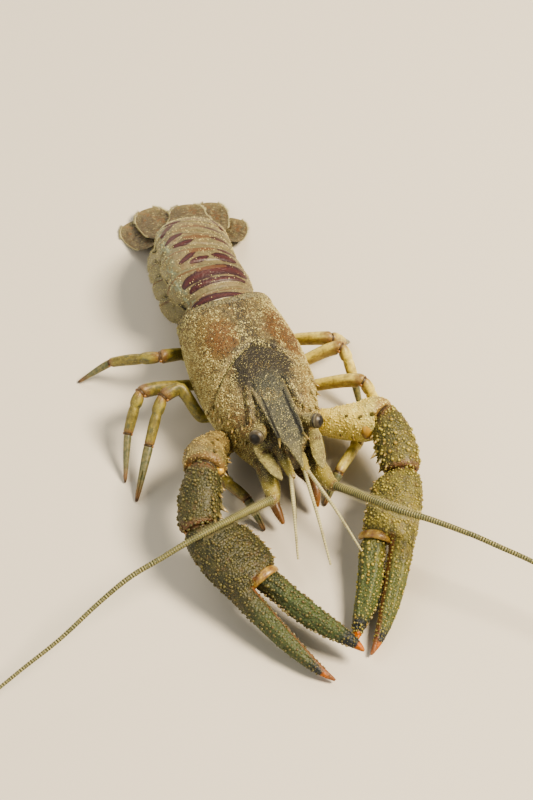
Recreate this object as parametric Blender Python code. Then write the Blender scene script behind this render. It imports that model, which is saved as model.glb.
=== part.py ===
"""A life-size still model of a spiny-cheek crayfish, standing on a floor.

Lengths below are in millimetres. The working frame has the rear edge of the
carapace at Y = 0, the head toward -Y, the animal's left toward +X and the
floor at Z = 0. At the end everything is moved sideways so that the middle of
the whole animal's bounds stands over the origin.
"""
import math

import bmesh
import bpy
from mathutils import Vector

# How lengths are turned into metres, and the clearance where two parts meet.
MM = 0.001
GAP = 0.3
ROOM = 0.35

# Middle of the animal's bounds in the working frame.
MIDDLE_X = -11.448
MIDDLE_Y = -31.321

# The carapace.
BEAK_TIP_Y = -47.4
CARAPACE_SIDES = 32
REAR_BULGE = 3.0
GROOVE_Y = -16.0
GROOVE_DEPTH = 0.45
RIM_THICKNESS = 0.9
AREOLA_FRONT = -14.0
AREOLA_REAR = -1.0
AREOLA_DEPTH = 0.25

# The abdomen, six rings and a tail plate.
ABDOMEN_WALL = 1.6
TELSON_LENGTH = 13.4
TELSON_HALF_WIDTH = 5.0

# The eyes.
EYE_RADIUS = 1.65
EYE_X = 6.4
EYE_Y = -36.6
EYE_Z = 19.0

# Carapace profile: y, half width, top, height of the widest place, underside.
CARAPACE_PROFILE = [
    (-38.5, 4.4, 14.8, 10.5, 7.4),
    (-36.5, 6.4, 16.8, 10.8, 6.2),
    (-34.0, 8.0, 18.6, 11.2, 5.6),
    (-31.0, 9.3, 20.0, 11.4, 5.3),
    (-27.0, 10.6, 21.1, 11.5, 5.0),
    (-22.0, 11.7, 22.1, 11.5, 5.0),
    (-16.0, 12.1, 22.5, 11.5, 5.0),
    (-10.0, 12.0, 22.0, 11.4, 5.0),
    (-5.0, 11.6, 21.1, 11.2, 5.2),
    (0.0, 11.0, 20.1, 11.0, 6.0),
    (3.5, 10.5, 19.4, 11.0, 6.6),
]

# How far each ring of the carapace is swept back (+) or forward (-) at its
# sides, against its place on the midline.
CARAPACE_SWEEP = [
    (-38.5, 0.0),
    (-34.0, -0.8),
    (-30.0, -2.0),
    (-24.0, -4.5),
    (-19.0, -7.0),
    (-16.0, -8.3),
    (-12.0, -6.0),
    (-8.0, -2.5),
    (-4.0, 1.0),
    (0.0, REAR_BULGE),
]

# Abdomen joints: x, y, top, half width, pitch down, yaw, roll (degrees).
ABDOMEN_JOINTS = [
    (0.0, -0.4, 18.4, 8.4, -3.0, 0.0, 0.0),
    (0.0, 3.9, 18.9, 8.5, -3.0, 0.0, 3.0),
    (-0.8, 10.2, 20.4, 10.4, 0.0, 0.0, 10.0),
    (-0.8, 16.2, 20.2, 10.1, 7.0, 2.0, 14.0),
    (-0.2, 22.2, 18.9, 9.8, 17.0, 5.0, 13.0),
    (0.9, 28.2, 16.0, 9.1, 30.0, 9.0, 9.0),
    (2.7, 35.0, 10.8, 8.1, 38.0, 11.0, 4.0),
]


def between(table, place):
    """Read a row of sizes between the rows of a table, by its first column."""
    if place <= table[0][0]:
        return table[0][1:]
    for low, high in zip(table, table[1:]):
        if place <= high[0]:
            share = (place - low[0]) / (high[0] - low[0])
            return tuple(a + (b - a) * share for a, b in zip(low[1:], high[1:]))
    return table[-1][1:]


def paint(name, colour, roughness=0.45):
    """One painted surface."""
    material = bpy.data.materials.new(name)
    material.use_nodes = True
    shader = material.node_tree.nodes["Principled BSDF"]
    shader.inputs["Base Color"].default_value = (*colour, 1.0)
    shader.inputs["Roughness"].default_value = roughness
    material.diffuse_color = (*colour, 1.0)
    return material


def place(point):
    """From the working frame in millimetres to the model in metres."""
    return Vector((point[0] - MIDDLE_X, point[1] - MIDDLE_Y, point[2])) * MM


def skin(name, rings, material, rear_tip=None):
    """Close a row of rings into one solid; a tip takes the place of the last face."""
    mesh = bpy.data.meshes.new(name)
    work = bmesh.new()
    loops = [[work.verts.new(place(p)) for p in ring] for ring in rings]
    count = len(rings[0])
    for first, second in zip(loops, loops[1:]):
        for i in range(count):
            j = (i + 1) % count
            work.faces.new((first[i], first[j], second[j], second[i]))
    work.faces.new(loops[0])
    if rear_tip is None:
        work.faces.new(loops[-1])
    else:
        point = work.verts.new(place(rear_tip))
        for i in range(count):
            j = (i + 1) % count
            work.faces.new((loops[-1][i], loops[-1][j], point))
    bmesh.ops.triangulate(work, faces=work.faces[:])
    bmesh.ops.recalc_face_normals(work, faces=work.faces[:])
    work.to_mesh(mesh)
    work.free()
    solid = bpy.data.objects.new(name, mesh)
    bpy.context.scene.collection.objects.link(solid)
    mesh.materials.append(material)
    return solid


def oval(centre, along, up, wide, high, low, count, power=2.0):
    """A ring across a direction, with its own height above and below."""
    along = Vector(along).normalized()
    side = along.cross(Vector(up)).normalized()
    top = side.cross(along).normalized()
    ring = []
    for i in range(count):
        turn = 2.0 * math.pi * (i + 0.5) / count
        c = math.cos(turn)
        s = math.sin(turn)
        across = wide * math.copysign(abs(c) ** (2.0 / power), c)
        tall = (high if s > 0 else low) * math.copysign(abs(s) ** (2.0 / power), s)
        ring.append(Vector(centre) + side * across + top * tall)
    return ring


def bisector(before, joint, after):
    """The direction in which two lengths of a limb meet at a joint."""
    first = (Vector(joint) - Vector(before)).normalized()
    second = (Vector(after) - Vector(joint)).normalized()
    return (first + second).normalized()


def length(name, points, sizes, material, start=None, end=None, sides=8,
           up=(0, 0, 1), power=2.0, tip=False, square=None):
    """One length of a limb through its points; ends square to start and end.

    Each row of sizes is half width, half height above and half height below.
    With square given, every ring between the ends is square to that direction.
    """
    points = [Vector(p) for p in points]
    rings = []
    last = len(points) - 1
    for i, (point, size) in enumerate(zip(points, sizes)):
        if i == 0:
            along = Vector(start) if start else points[1] - points[0]
            point = point + along.normalized() * GAP * 0.5
        elif i == last:
            along = Vector(end) if end else points[i] - points[i - 1]
            if not tip:
                point = point - along.normalized() * GAP * 0.5
        elif square:
            along = Vector(square)
        else:
            along = bisector(points[i - 1], point, points[i + 1])
        rings.append(oval(point, along, up, *size, sides, power))
    return skin(name, rings, material)


def spine(root, way, reach, radius, material, sides=5):
    """A small thorn standing out of its root."""
    way = Vector(way).normalized()
    start = Vector(root) - way * radius
    ring = oval(start, way, (0.31, 0.17, 0.93), radius, radius, radius, sides)
    return skin("spine", [ring], material, rear_tip=Vector(root) + way * reach)


def evaluated(solid):
    """Apply the modifiers of a solid to its mesh."""
    graph = bpy.context.evaluated_depsgraph_get()
    mesh = bpy.data.meshes.new_from_object(solid.evaluated_get(graph))
    solid.modifiers.clear()
    solid.data = mesh


def largest_only(solid):
    """Keep the largest closed surface of a solid."""
    work = bmesh.new()
    work.from_mesh(solid.data)
    work.verts.ensure_lookup_table()
    seen = set()
    groups = []
    for vert in work.verts:
        if vert.index in seen:
            continue
        seen.add(vert.index)
        group = [vert]
        for member in group:
            for edge in member.link_edges:
                other = edge.other_vert(member)
                if other.index not in seen:
                    seen.add(other.index)
                    group.append(other)
        groups.append(group)
    groups.sort(key=len, reverse=True)
    spare = [vert for group in groups[1:] for vert in group]
    bmesh.ops.delete(work, geom=spare, context="VERTS")
    work.to_mesh(solid.data)
    work.free()


def fuse(solid, pieces):
    """Join small pieces to a solid with one union."""
    group = bpy.data.collections.new("pieces")
    for piece in pieces:
        bpy.context.scene.collection.objects.unlink(piece)
        group.objects.link(piece)
    bpy.context.scene.collection.children.link(group)
    union = solid.modifiers.new("union", "BOOLEAN")
    union.operation = "UNION"
    union.solver = "EXACT"
    union.operand_type = "COLLECTION"
    union.collection = group
    evaluated(solid)
    for piece in pieces:
        bpy.data.objects.remove(piece)
    bpy.data.collections.remove(group)
    largest_only(solid)


def carve(solid, cutter):
    """Take the room of a cutter out of a solid."""
    cutter.hide_render = True
    cutter.display_type = "WIRE"
    cut = solid.modifiers.new("cut", "BOOLEAN")
    cut.operation = "DIFFERENCE"
    cut.solver = "EXACT"
    cut.object = cutter
    evaluated(solid)
    largest_only(solid)


def stand_on_floor(solid):
    """Cut a solid off level with the floor, leaving a small flat."""
    work = bmesh.new()
    work.from_mesh(solid.data)
    if min(vert.co.z for vert in work.verts) < -1e-7:
        geometry = work.verts[:] + work.edges[:] + work.faces[:]
        found = bmesh.ops.bisect_plane(
            work, geom=geometry, plane_co=(0, 0, 0), plane_no=(0, 0, -1), clear_outer=True)
        edges = [e for e in found["geom_cut"] if isinstance(e, bmesh.types.BMEdge)]
        bmesh.ops.holes_fill(work, edges=edges, sides=0)
        bmesh.ops.triangulate(work, faces=work.faces[:])
        bmesh.ops.recalc_face_normals(work, faces=work.faces[:])
        work.to_mesh(solid.data)
    work.free()


# Start from an empty scene.
for thing in list(bpy.data.objects):
    bpy.data.objects.remove(thing)

OLIVE_SHELL = paint("olive_shell", (0.22, 0.17, 0.09))
TAIL_SHELL = paint("tail_shell", (0.36, 0.31, 0.20))
FAN_SHELL = paint("fan_shell", (0.50, 0.44, 0.27))
CLAW_SHELL = paint("claw_shell", (0.20, 0.21, 0.09))
LIMB_SHELL = paint("limb_shell", (0.52, 0.42, 0.16))
FEELER_SHELL = paint("feeler_shell", (0.40, 0.36, 0.20))
MOUTH_SHELL = paint("mouth_shell", (0.45, 0.22, 0.08))
EYE_GLASS = paint("eye_black", (0.03, 0.03, 0.03), 0.15)


def carapace_ring(y_mid, grow=0.0, inset=0.0):
    """A ring of the carapace, swept at its sides, grown all round if asked."""
    sweep = between(CARAPACE_SWEEP, y_mid)[0]
    ring = []
    for i in range(CARAPACE_SIDES):
        turn = 2.0 * math.pi * i / CARAPACE_SIDES
        c = math.cos(turn)
        s = math.sin(turn)
        y = y_mid + sweep * abs(c) ** 1.3
        wide, top, middle, under = between(CARAPACE_PROFILE, y)
        high = top - middle
        low = middle - under
        power = 2.15 if s > 0 else 2.6
        across = math.copysign(abs(c) ** (2.0 / power), c)
        tall = math.copysign(abs(s) ** (2.0 / power), s)
        extra = grow - (inset if s > -0.2 else 0.0)
        if AREOLA_FRONT < y_mid < AREOLA_REAR and 0.1 < abs(c) < 0.25 and s > 0:
            extra = extra - AREOLA_DEPTH
        reach = (high if s > 0 else low) + extra
        ring.append((across * (wide + extra), y, middle + tall * reach))
    return ring


CARAPACE_PLACES = [-38.5, -36.5, -34.0, -31.0, -27.0, -22.0, -18.0, -16.8, -16.0, -15.2,
                   -12.0, -8.0, -4.0, -1.5, 0.0]


def build_carapace():
    """The carapace with its rostrum, and a recess behind for the abdomen."""
    rings = []
    for y in CARAPACE_PLACES:
        rings.append(carapace_ring(y, inset=GROOVE_DEPTH if y == GROOVE_Y else 0.0))
    rim = carapace_ring(0.0, grow=-RIM_THICKNESS)
    rings.append(rim)
    floor = [(x, min(y, -0.6), z) for x, y, z in carapace_ring(0.0, grow=-RIM_THICKNESS)]
    rings.append(floor)
    shell = skin("carapace", rings, OLIVE_SHELL)
    fuse(shell, [rostrum()] + carapace_thorns())
    return shell


def on_carapace(y, turn):
    """A place on the carapace and the way out from it, by its height angle."""
    wide, top, middle, under = between(CARAPACE_PROFILE, y)
    c = math.cos(math.radians(turn))
    s = math.sin(math.radians(turn))
    across = math.copysign(abs(c) ** (2.0 / 2.15), c) * wide
    tall = abs(s) ** (2.0 / 2.15) * (top - middle)
    return Vector((across, y, middle + tall)), Vector((c, -0.25, s))


# Cheek thorns: y, height angle, reach.
CHEEK_THORNS = (
    (-33.4, 24.0, 1.0),
    (-31.6, 38.0, 1.0),
    (-30.2, 24.0, 1.2),
    (-27.8, 34.0, 1.0),
    (-26.6, 20.0, 1.0),
)


def carapace_thorns():
    """The ridges behind the eyes and the thorns of the beak, cheeks and groove."""
    pieces = []
    for hand in (-1.0, 1.0):
        run = ((hand * 5.6, -31.6, 18.3), (hand * 5.0, -28.8, 19.6), (hand * 4.4, -24.6, 21.0))
        ridge = length("ridge", run, ((0.55, 0.5, 0.5), (0.65, 0.6, 0.6), (0.3, 0.25, 0.25)),
                       OLIVE_SHELL, sides=6, tip=True)
        pieces.append(ridge)
        pieces.append(spine((hand * 5.65, -31.5, 18.4), (hand * 0.2, -1.0, 0.25), 1.3, 0.55, OLIVE_SHELL))
        pieces.append(spine((hand * 2.3, -40.4, 20.1), (hand * 0.3, -1.0, 0.1), 2.0, 0.5, OLIVE_SHELL))
        for y, turn, reach in CHEEK_THORNS:
            root, way = on_carapace(y, turn)
            root.x = root.x * hand
            way.x = way.x * hand
            way.y = -0.8
            pieces.append(spine(root, way, reach, 0.5, OLIVE_SHELL))
        root, way = on_carapace(-23.4, 18.0)
        root.x = root.x * hand
        way = Vector((way.x * hand, -1.0, way.z))
        pieces.append(spine(root, way, 1.8, 0.65, OLIVE_SHELL))
    return pieces


ROSTRUM_STATIONS = [
    (-26.0, 3.6, 20.4, 17.5, 0.0),
    (-31.0, 3.0, 20.9, 17.6, 0.5),
    (-36.0, 2.8, 20.8, 18.0, 0.6),
    (-40.6, 2.5, 20.4, 18.4, 0.5),
    (-42.0, 1.5, 20.0, 18.6, 0.3),
    (-44.5, 0.8, 19.8, 18.7, 0.1),
    (BEAK_TIP_Y, 0.25, 19.5, 19.0, 0.0),
]


def rostrum():
    """The beak between the eyes, hollowed along its top."""
    rings = []
    for y, wide, top, under, hollow in ROSTRUM_STATIONS:
        rings.append([
            (-wide, y, top - 0.3), (-wide * 0.8, y, top), (-wide * 0.45, y, top - hollow),
            (wide * 0.45, y, top - hollow), (wide * 0.8, y, top), (wide, y, top - 0.3),
            (wide * 0.6, y, under), (-wide * 0.6, y, under)])
    return skin("rostrum", rings, OLIVE_SHELL)


def grown_carapace():
    """The body a clearance larger all round, as room for what grows from it."""
    rings = [carapace_ring(y, grow=ROOM) for y in CARAPACE_PLACES]
    rings[0] = [(x, y - ROOM, z) for x, y, z in rings[0]]
    return skin("body_room", rings, OLIVE_SHELL)


def turned(pitch, yaw):
    """The direction of the abdomen from its pitch and yaw."""
    p = math.radians(pitch)
    w = math.radians(yaw)
    return Vector((math.sin(w) * math.cos(p), math.cos(w) * math.cos(p), -math.sin(p)))


def rolled(along, roll):
    """The sideways and upward directions across the abdomen, leaned by its roll."""
    side = along.cross(Vector((0, 0, 1))).normalized()
    up = side.cross(along).normalized()
    lean = math.radians(roll)
    return side * math.cos(lean) - up * math.sin(lean), up * math.cos(lean) + side * math.sin(lean)


def arch(top, side, up, wide, drop, flap, wall):
    """A ring of the abdomen: an arched roof, two side flaps and a flat belly."""
    ring = []
    steps = 14
    for i in range(steps + 1):
        turn = math.radians(-8.0 + 196.0 * i / steps)
        c = math.cos(turn)
        s = math.sin(turn)
        across = wide * math.copysign(abs(c) ** 0.9, c)
        ring.append(top + side * across + up * (drop * (math.copysign(abs(s) ** 0.9, s) - 1.0)))
    tip = wide - wall * 0.35
    inner = wide - wall
    belly = -drop - 1.0
    ring.append(top - side * tip + up * (-drop - flap))
    ring.append(top - side * inner + up * (-drop - flap * 0.9))
    ring.append(top - side * (inner - 0.6) + up * belly)
    ring.append(top + up * (belly - 0.5))
    ring.append(top + side * (inner - 0.6) + up * belly)
    ring.append(top + side * inner + up * (-drop - flap * 0.9))
    ring.append(top + side * tip + up * (-drop - flap))
    return ring


def build_abdomen():
    """Six rings, each stepping in under the one before."""
    for k in range(6):
        start = ABDOMEN_JOINTS[k]
        end = ABDOMEN_JOINTS[k + 1]
        rings = []
        for share, step, flap in ((0.0, 0.9, 1.6), (0.1, 0.4, 2.4), (0.26, 0.3, 3.4), (0.34, 0.0, 4.0),
                                  (0.6, 0.0, 4.4), (0.86, 0.0, 3.2), (1.0, 0.15, 1.9)):
            row = [a + (b - a) * share for a, b in zip(start, end)]
            along = turned(row[4], row[5])
            side, up = rolled(along, row[6])
            top = Vector(row[:3])
            if share == 0.0:
                top = top + along * GAP * 0.5
            if share == 1.0:
                top = top - along * GAP * 0.5
            drop = 8.2 - 0.55 * k
            if k == 0:
                flap = flap * 0.35
            top = top - up * step
            rings.append(arch(top, side, up, row[3] - step, drop - step, flap, ABDOMEN_WALL))
        plate_ring = skin("abdomen_" + str(k + 1), rings, TAIL_SHELL)
        if 1 <= k <= 4:
            fuse(plate_ring, swimmerets(start, end, 8.2 - 0.55 * k))


def swimmerets(start, end, drop):
    """The pair of soft paddles under one ring of the abdomen."""
    row = [a + (b - a) * 0.45 for a, b in zip(start, end)]
    side, up = rolled(turned(row[4], row[5]), row[6])
    pair = []
    for hand in (-1.0, 1.0):
        root = Vector(row[:3]) - up * (drop + 0.6) + side * hand * 5.6
        knee = root - up * 2.2 - side * hand * 0.8 + Vector((0, 0.3, 0))
        tip = knee - up * 2.4 - side * hand * 1.6 + Vector((0, 1.6, 0))
        pair.append(length("swimmeret", (root, knee, tip),
                           ((0.8, 0.6, 0.6), (0.9, 0.5, 0.5), (0.35, 0.3, 0.3)),
                           TAIL_SHELL, sides=6, tip=True))
    return pair


def plate(name, base, along, tip, width, thickness, shape, material, sag):
    """A flat plate of the tail fan, from a base face square to a direction out to its tip.

    Each row of the shape is the share of the length, of the width and of the thickness.
    """
    base = Vector(base)
    tip = Vector(tip)
    run = tip - base
    flat = Vector((run.x, run.y, 0)).normalized()
    rings = []
    for share, wide, thick in shape:
        centre = base + run * share
        centre.z = tip.z + (base.z - tip.z) * (1.0 - share) ** sag
        side = flat.cross(Vector((0, 0, 1)))
        up = Vector((0, 0, 1))
        if share == 0.0:
            side = Vector(along).cross(Vector((0, 0, 1))).normalized()
            up = side.cross(Vector(along)).normalized()
        across = side * width * wide
        lift = up * thickness * thick * 0.5
        corners = ((-1.0, -0.5), (-1.0, 0.5), (-0.5, 0.9), (0.0, 1.0), (0.5, 0.9),
                   (1.0, 0.5), (1.0, -0.5), (0.5, -0.9), (0.0, -1.0), (-0.5, -0.9))
        rings.append([centre + across * c + lift * r for c, r in corners])
    solid = skin(name, rings, material)
    stand_on_floor(solid)
    return solid


TELSON_SHAPE = ((0.0, 0.9, 2.4), (0.12, 1.0, 1.8), (0.35, 1.0, 1.2), (0.58, 0.98, 1.1),
                (0.63, 0.86, 1.2), (0.85, 0.8, 1.0), (0.96, 0.62, 0.8), (1.0, 0.36, 0.7))
PADDLE_SHAPE = ((0.0, 0.3, 1.8), (0.12, 0.38, 1.5), (0.35, 0.82, 1.1), (0.6, 1.0, 1.0),
                (0.82, 0.95, 0.9), (0.94, 0.7, 0.8), (1.0, 0.34, 0.7))
# Paddles: place across the last ring, its depth, tip, half width and sag.
PADDLES = {
    "paddle_inner_right": (-4.1, 4.3, (-3.2, 50.4, 1.7), 3.8, 2.2),
    "paddle_outer_right": (-6.6, 5.1, (-9.9, 47.4, 0.35), 3.6, 3.1),
    "paddle_inner_left": (4.1, 4.3, (11.4, 46.8, 1.7), 3.8, 2.2),
    "paddle_outer_left": (6.6, 5.1, (15.4, 41.2, 0.35), 3.6, 2.8),
}


def build_fan():
    """The tail plate and the two paddles on either side of it."""
    joint = ABDOMEN_JOINTS[6]
    along = turned(joint[4], joint[5])
    side, up = rolled(along, joint[6])
    top = Vector(joint[:3]) + along * (GAP * 0.5)
    flat = Vector((along.x, along.y, 0)).normalized()
    base = top - up * 2.0
    tip = base + flat * TELSON_LENGTH
    tip.z = 2.9
    telson = plate("telson", base, along, tip, TELSON_HALF_WIDTH, 1.0, TELSON_SHAPE, FAN_SHELL, 1.8)
    thorns = []
    for hand in (-1.0, 1.0):
        root = base + (tip - base) * 0.6
        root.z = tip.z + (base.z - tip.z) * 0.4 ** 1.8
        root = root + flat.cross(Vector((0, 0, 1))) * hand * TELSON_HALF_WIDTH * 0.92
        thorns.append(spine(root, flat + side * hand * 0.15, 1.2, 0.35, FAN_SHELL))
    fuse(telson, thorns)
    for name, (aside, deep, tip, width, sag) in PADDLES.items():
        base = top + side * aside - up * deep
        plate(name, base, along, tip, width, 0.8, PADDLE_SHAPE, FAN_SHELL, sag)


def build_eye(name, hand):
    """A ball on a short stalk."""
    ball = Vector((hand * EYE_X, EYE_Y, EYE_Z))
    root = Vector((hand * 2.6, -33.0, 16.8))
    out = (ball - root).normalized()
    rings = []
    for reach, radius in ((0.0, 1.1), (2.2, 1.2), (3.2, 1.5)):
        rings.append(oval(root + out * reach, out, (0, 0, 1), radius, radius, radius, 12))
    for turn in (-50, -25, 0, 25, 50, 75):
        a = math.radians(turn)
        radius = EYE_RADIUS * math.cos(a)
        centre = ball + out * EYE_RADIUS * math.sin(a)
        rings.append(oval(centre, out, (0, 0, 1), radius, radius, radius, 12))
    return skin(name, rings, EYE_GLASS, rear_tip=ball + out * EYE_RADIUS)


# Walking legs: the way from the hip inside the body to the knee, then the ankle and the foot.
WALKING_LEGS = {
    "leg_2_right": (((-6.5, -21.5, 5.8), (-9.0, -24.4, 3.9), (-12.6, -33.6, 4.8)),
                    (-9.4, -40.6, 4.4), (-7.6, -46.4, -0.2)),
    "leg_3_right": (((-8.0, -19.6, 6.6), (-12.4, -19.4, 7.6), (-15.3, -14.2, 12.3), (-19.2, -15.1, 12.0)),
                    (-24.7, -21.9, 6.0), (-30.4, -30.8, -0.2)),
    "leg_4_right": (((-8.0, -10.4, 6.6), (-12.4, -10.2, 7.6), (-23.2, -12.1, 11.5)),
                    (-27.9, -17.4, 6.0), (-31.2, -25.3, -0.2)),
    "leg_5_right": (((-7.5, -4.0, 6.4), (-11.0, -1.4, 7.6), (-16.2, -2.6, 10.0)),
                    (-26.0, 3.1, 5.5), (-33.3, 4.5, -0.2)),
    "leg_2_left": (((6.5, -21.5, 5.8), (9.2, -24.4, 3.9), (18.4, -32.4, 4.8)),
                   (10.6, -40.2, 4.2), (6.0, -44.5, -0.2)),
    "leg_3_left": (((8.0, -18.4, 6.6), (12.2, -19.4, 8.2), (21.5, -25.2, 12.6)),
                   (24.0, -29.4, 6.0), (26.2, -33.0, -0.2)),
    "leg_4_left": (((8.0, -12.2, 6.6), (12.4, -12.6, 8.4), (20.6, -14.6, 12.2)),
                   (21.8, -20.6, 6.4), (22.0, -25.2, -0.2)),
    "leg_5_left": (((7.5, -5.4, 6.4), (11.6, -5.6, 8.2), (19.7, -10.9, 11.6)),
                   (23.6, -8.0, 6.0), (27.0, -4.0, -0.2)),
}
THIGH = ((1.3, 1.3, 1.3), (1.3, 1.4, 1.4), (1.3, 1.75, 1.75), (1.3, 1.6, 1.6))
SHIN = ((1.2, 1.4, 1.4), (1.15, 1.35, 1.35), (0.9, 1.0, 1.0))
TOE = ((0.85, 0.9, 0.9), (0.7, 0.75, 0.75), (0.35, 0.4, 0.4))


def along_line(start, end, share):
    """A point part of the way along a line."""
    return Vector(start) + (Vector(end) - Vector(start)) * share


def build_legs(room):
    """Eight walking legs, each in three lengths."""
    for name, (way, ankle, foot) in WALKING_LEGS.items():
        knee = way[-1]
        at_knee = bisector(way[-2], knee, ankle)
        at_ankle = bisector(knee, ankle, foot)
        points = list(way)
        if len(points) == 3:
            points.insert(2, along_line(way[1], knee, 0.6))
        thigh = length(name + "_thigh", points, THIGH, LIMB_SHELL, end=at_knee)
        carve(thigh, room)
        length(name + "_shin", (knee, along_line(knee, ankle, 0.35), ankle), SHIN,
               LIMB_SHELL, start=at_knee, end=at_ankle)
        pincer = 1.35 if "leg_2" in name or "leg_3" in name else 1.0
        toe = length(name + "_toe", (ankle, along_line(ankle, foot, 0.4), foot),
                     [(wide * pincer, high, low) for wide, high, low in TOE],
                     LIMB_SHELL, start=at_ankle, tip=True)
        stand_on_floor(toe)


# Claws: shoulder, elbow, wrist, moving fingertip, fixed fingertip.
CLAWS = {
    "claw_right": ((-7.0, -27.2, 8.0), (-17.2, -37.5, 14.2), (-22.1, -48.6, 10.5),
                   (0.5, -81.7, 4.5), (-6.4, -84.2, 1.0)),
    "claw_left": ((7.0, -27.2, 8.0), (22.0, -35.2, 12.4), (21.3, -48.0, 9.5),
                  (0.2, -77.4, 1.5), (2.0, -81.2, 1.0)),
}
ARM = ((2.4, 2.6, 2.6), (3.0, 3.5, 3.6), (3.8, 4.2, 4.6), (3.7, 4.0, 4.2))
CARPUS = ((2.9, 3.2, 3.0), (3.8, 3.8, 3.4), (4.0, 3.8, 3.4), (3.2, 3.2, 3.0))
# Inner thorns of the wrist: share of its length, reach, radius.
WRIST_THORNS = ((0.38, 1.0, 0.6), (0.62, 1.9, 0.8), (0.8, 0.9, 0.5))
# Palm and fixed finger: share of the length, shift to the outer side, half width, height.
PALM = (
    (0.0, 0.0, 2.8, 2.6),
    (0.09, -0.5, 5.0, 3.5),
    (0.22, -0.8, 5.9, 4.0),
    (0.375, -0.4, 5.1, 3.6),
    (0.385, 2.2, 2.5, 2.8),
    (0.6, 2.3, 2.1, 2.1),
    (0.8, 1.8, 1.6, 1.5),
    (0.93, 0.9, 1.1, 1.0),
    (1.0, 0.1, 0.5, 0.5),
)
# Moving finger: share of the length, bow to the inner side, half width, height.
FINGER = (
    (0.0, 0.0, 2.0, 2.4),
    (0.12, 0.5, 2.3, 2.4),
    (0.4, -0.7, 2.6, 2.3),
    (0.7, -0.49, 2.0, 1.7),
    (0.9, 0.0, 1.2, 1.1),
    (1.0, 0.0, 0.45, 0.45),
)


def build_claws(room):
    """Two claws, each of an arm, a wrist, a palm with its finger, and a moving finger."""
    for name, (shoulder, elbow, wrist, free_tip, fixed_tip) in CLAWS.items():
        hand = -1.0 if name.endswith("right") else 1.0
        shoulder, elbow, wrist, free_tip, fixed_tip = (
            Vector(p) for p in (shoulder, elbow, wrist, free_tip, fixed_tip))
        at_elbow = bisector(shoulder, elbow, wrist)
        reach = (fixed_tip - wrist)
        at_wrist = bisector(elbow, wrist, fixed_tip)
        sag = Vector((0, -0.8, -0.5))
        arm_way = (shoulder, along_line(shoulder, elbow, 0.4) + sag,
                   along_line(shoulder, elbow, 0.75) + sag, elbow)
        arm = length(name + "_arm", arm_way, ARM, LIMB_SHELL, end=at_elbow, sides=12)
        carve(arm, room)
        carpus = length(name + "_wrist",
                        (elbow, along_line(elbow, wrist, 0.35), along_line(elbow, wrist, 0.7), wrist),
                        CARPUS, CLAW_SHELL, start=at_elbow, end=at_wrist, sides=12)
        inner = Vector((-hand, 0.0, 0.0))
        thorns = []
        for share, reach_out, radius in WRIST_THORNS:
            root = along_line(elbow, wrist, share) + inner * 3.5 + Vector((0, 0, 0.6))
            thorns.append(spine(root, (inner.x, -0.5, 0.25), reach_out, radius, CLAW_SHELL))
        fuse(carpus, thorns)
        # The palm narrows past the hinge into the fixed finger, which keeps to the outer side.
        forward = reach.normalized()
        outer = forward.cross(Vector((0, 0, 1))).normalized()
        if outer.x * hand < 0:
            outer = -outer
        span = reach.length
        points = []
        sizes = []
        for share, off, wide, high in PALM:
            points.append(wrist + reach * share + outer * off)
            sizes.append((wide, high, high * 0.9))
        palm = length(name + "_palm", points, sizes, CLAW_SHELL, start=at_wrist,
                      square=reach, sides=12, tip=True)
        bumps = []
        for step in range(6):
            share = 0.09 + 0.05 * step
            for lift, aside in ((0.9, 0.25), (2.3, 1.2)):
                inset = 5.6 + 0.9 * math.sin(step * 0.6) - aside
                root = wrist + reach * share - outer * inset + Vector((0, 0, lift))
                way = -outer + forward * 0.5 + Vector((0, 0, lift * 0.3))
                bumps.append(spine(root, way, 0.75, 0.5, CLAW_SHELL))
        fuse(palm, bumps)
        stand_on_floor(palm)
        # The moving finger bows outward from its hinge to its tip.
        hinge = wrist + reach * 0.392 - outer * 3.0
        swing = free_tip - hinge
        points = []
        sizes = []
        for share, bow, wide, high in FINGER:
            points.append(hinge + swing * share - outer * bow)
            sizes.append((wide, high, high * 0.9))
        finger = length(name + "_finger", points, sizes, CLAW_SHELL, start=reach, sides=10, tip=True)
        stand_on_floor(finger)


# Feelers: the run of each long feeler from its base to its tip.
RIGHT_FEELER = ((-6.6, -47.4, 11.6), (-10.6, -49.2, 13.2), (-14.4, -51.1, 15.0), (-20.3, -53.6, 16.8),
                (-26.8, -55.3, 16.8), (-32.7, -56.6, 15.8), (-38.6, -57.7, 14.5), (-45.3, -59.9, 12.5),
                (-54.4, -63.8, 10.0), (-63.1, -66.8, 8.0), (-72.0, -70.5, 6.4), (-80.0, -75.0, 5.4))
LEFT_FEELER = ((6.6, -49.0, 11.0), (9.1, -52.9, 12.8), (11.0, -55.9, 14.2), (15.1, -61.3, 16.0),
               (19.7, -65.3, 16.6), (25.7, -70.9, 16.4), (30.0, -75.3, 16.0), (34.9, -80.1, 15.2),
               (42.0, -88.0, 13.4), (48.0, -96.0, 11.4), (53.0, -104.5, 9.2), (57.0, -113.0, 7.0))
FEELER_BASE_RADIUS = 0.85
FEELER_TIP_RADIUS = 0.27


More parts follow.
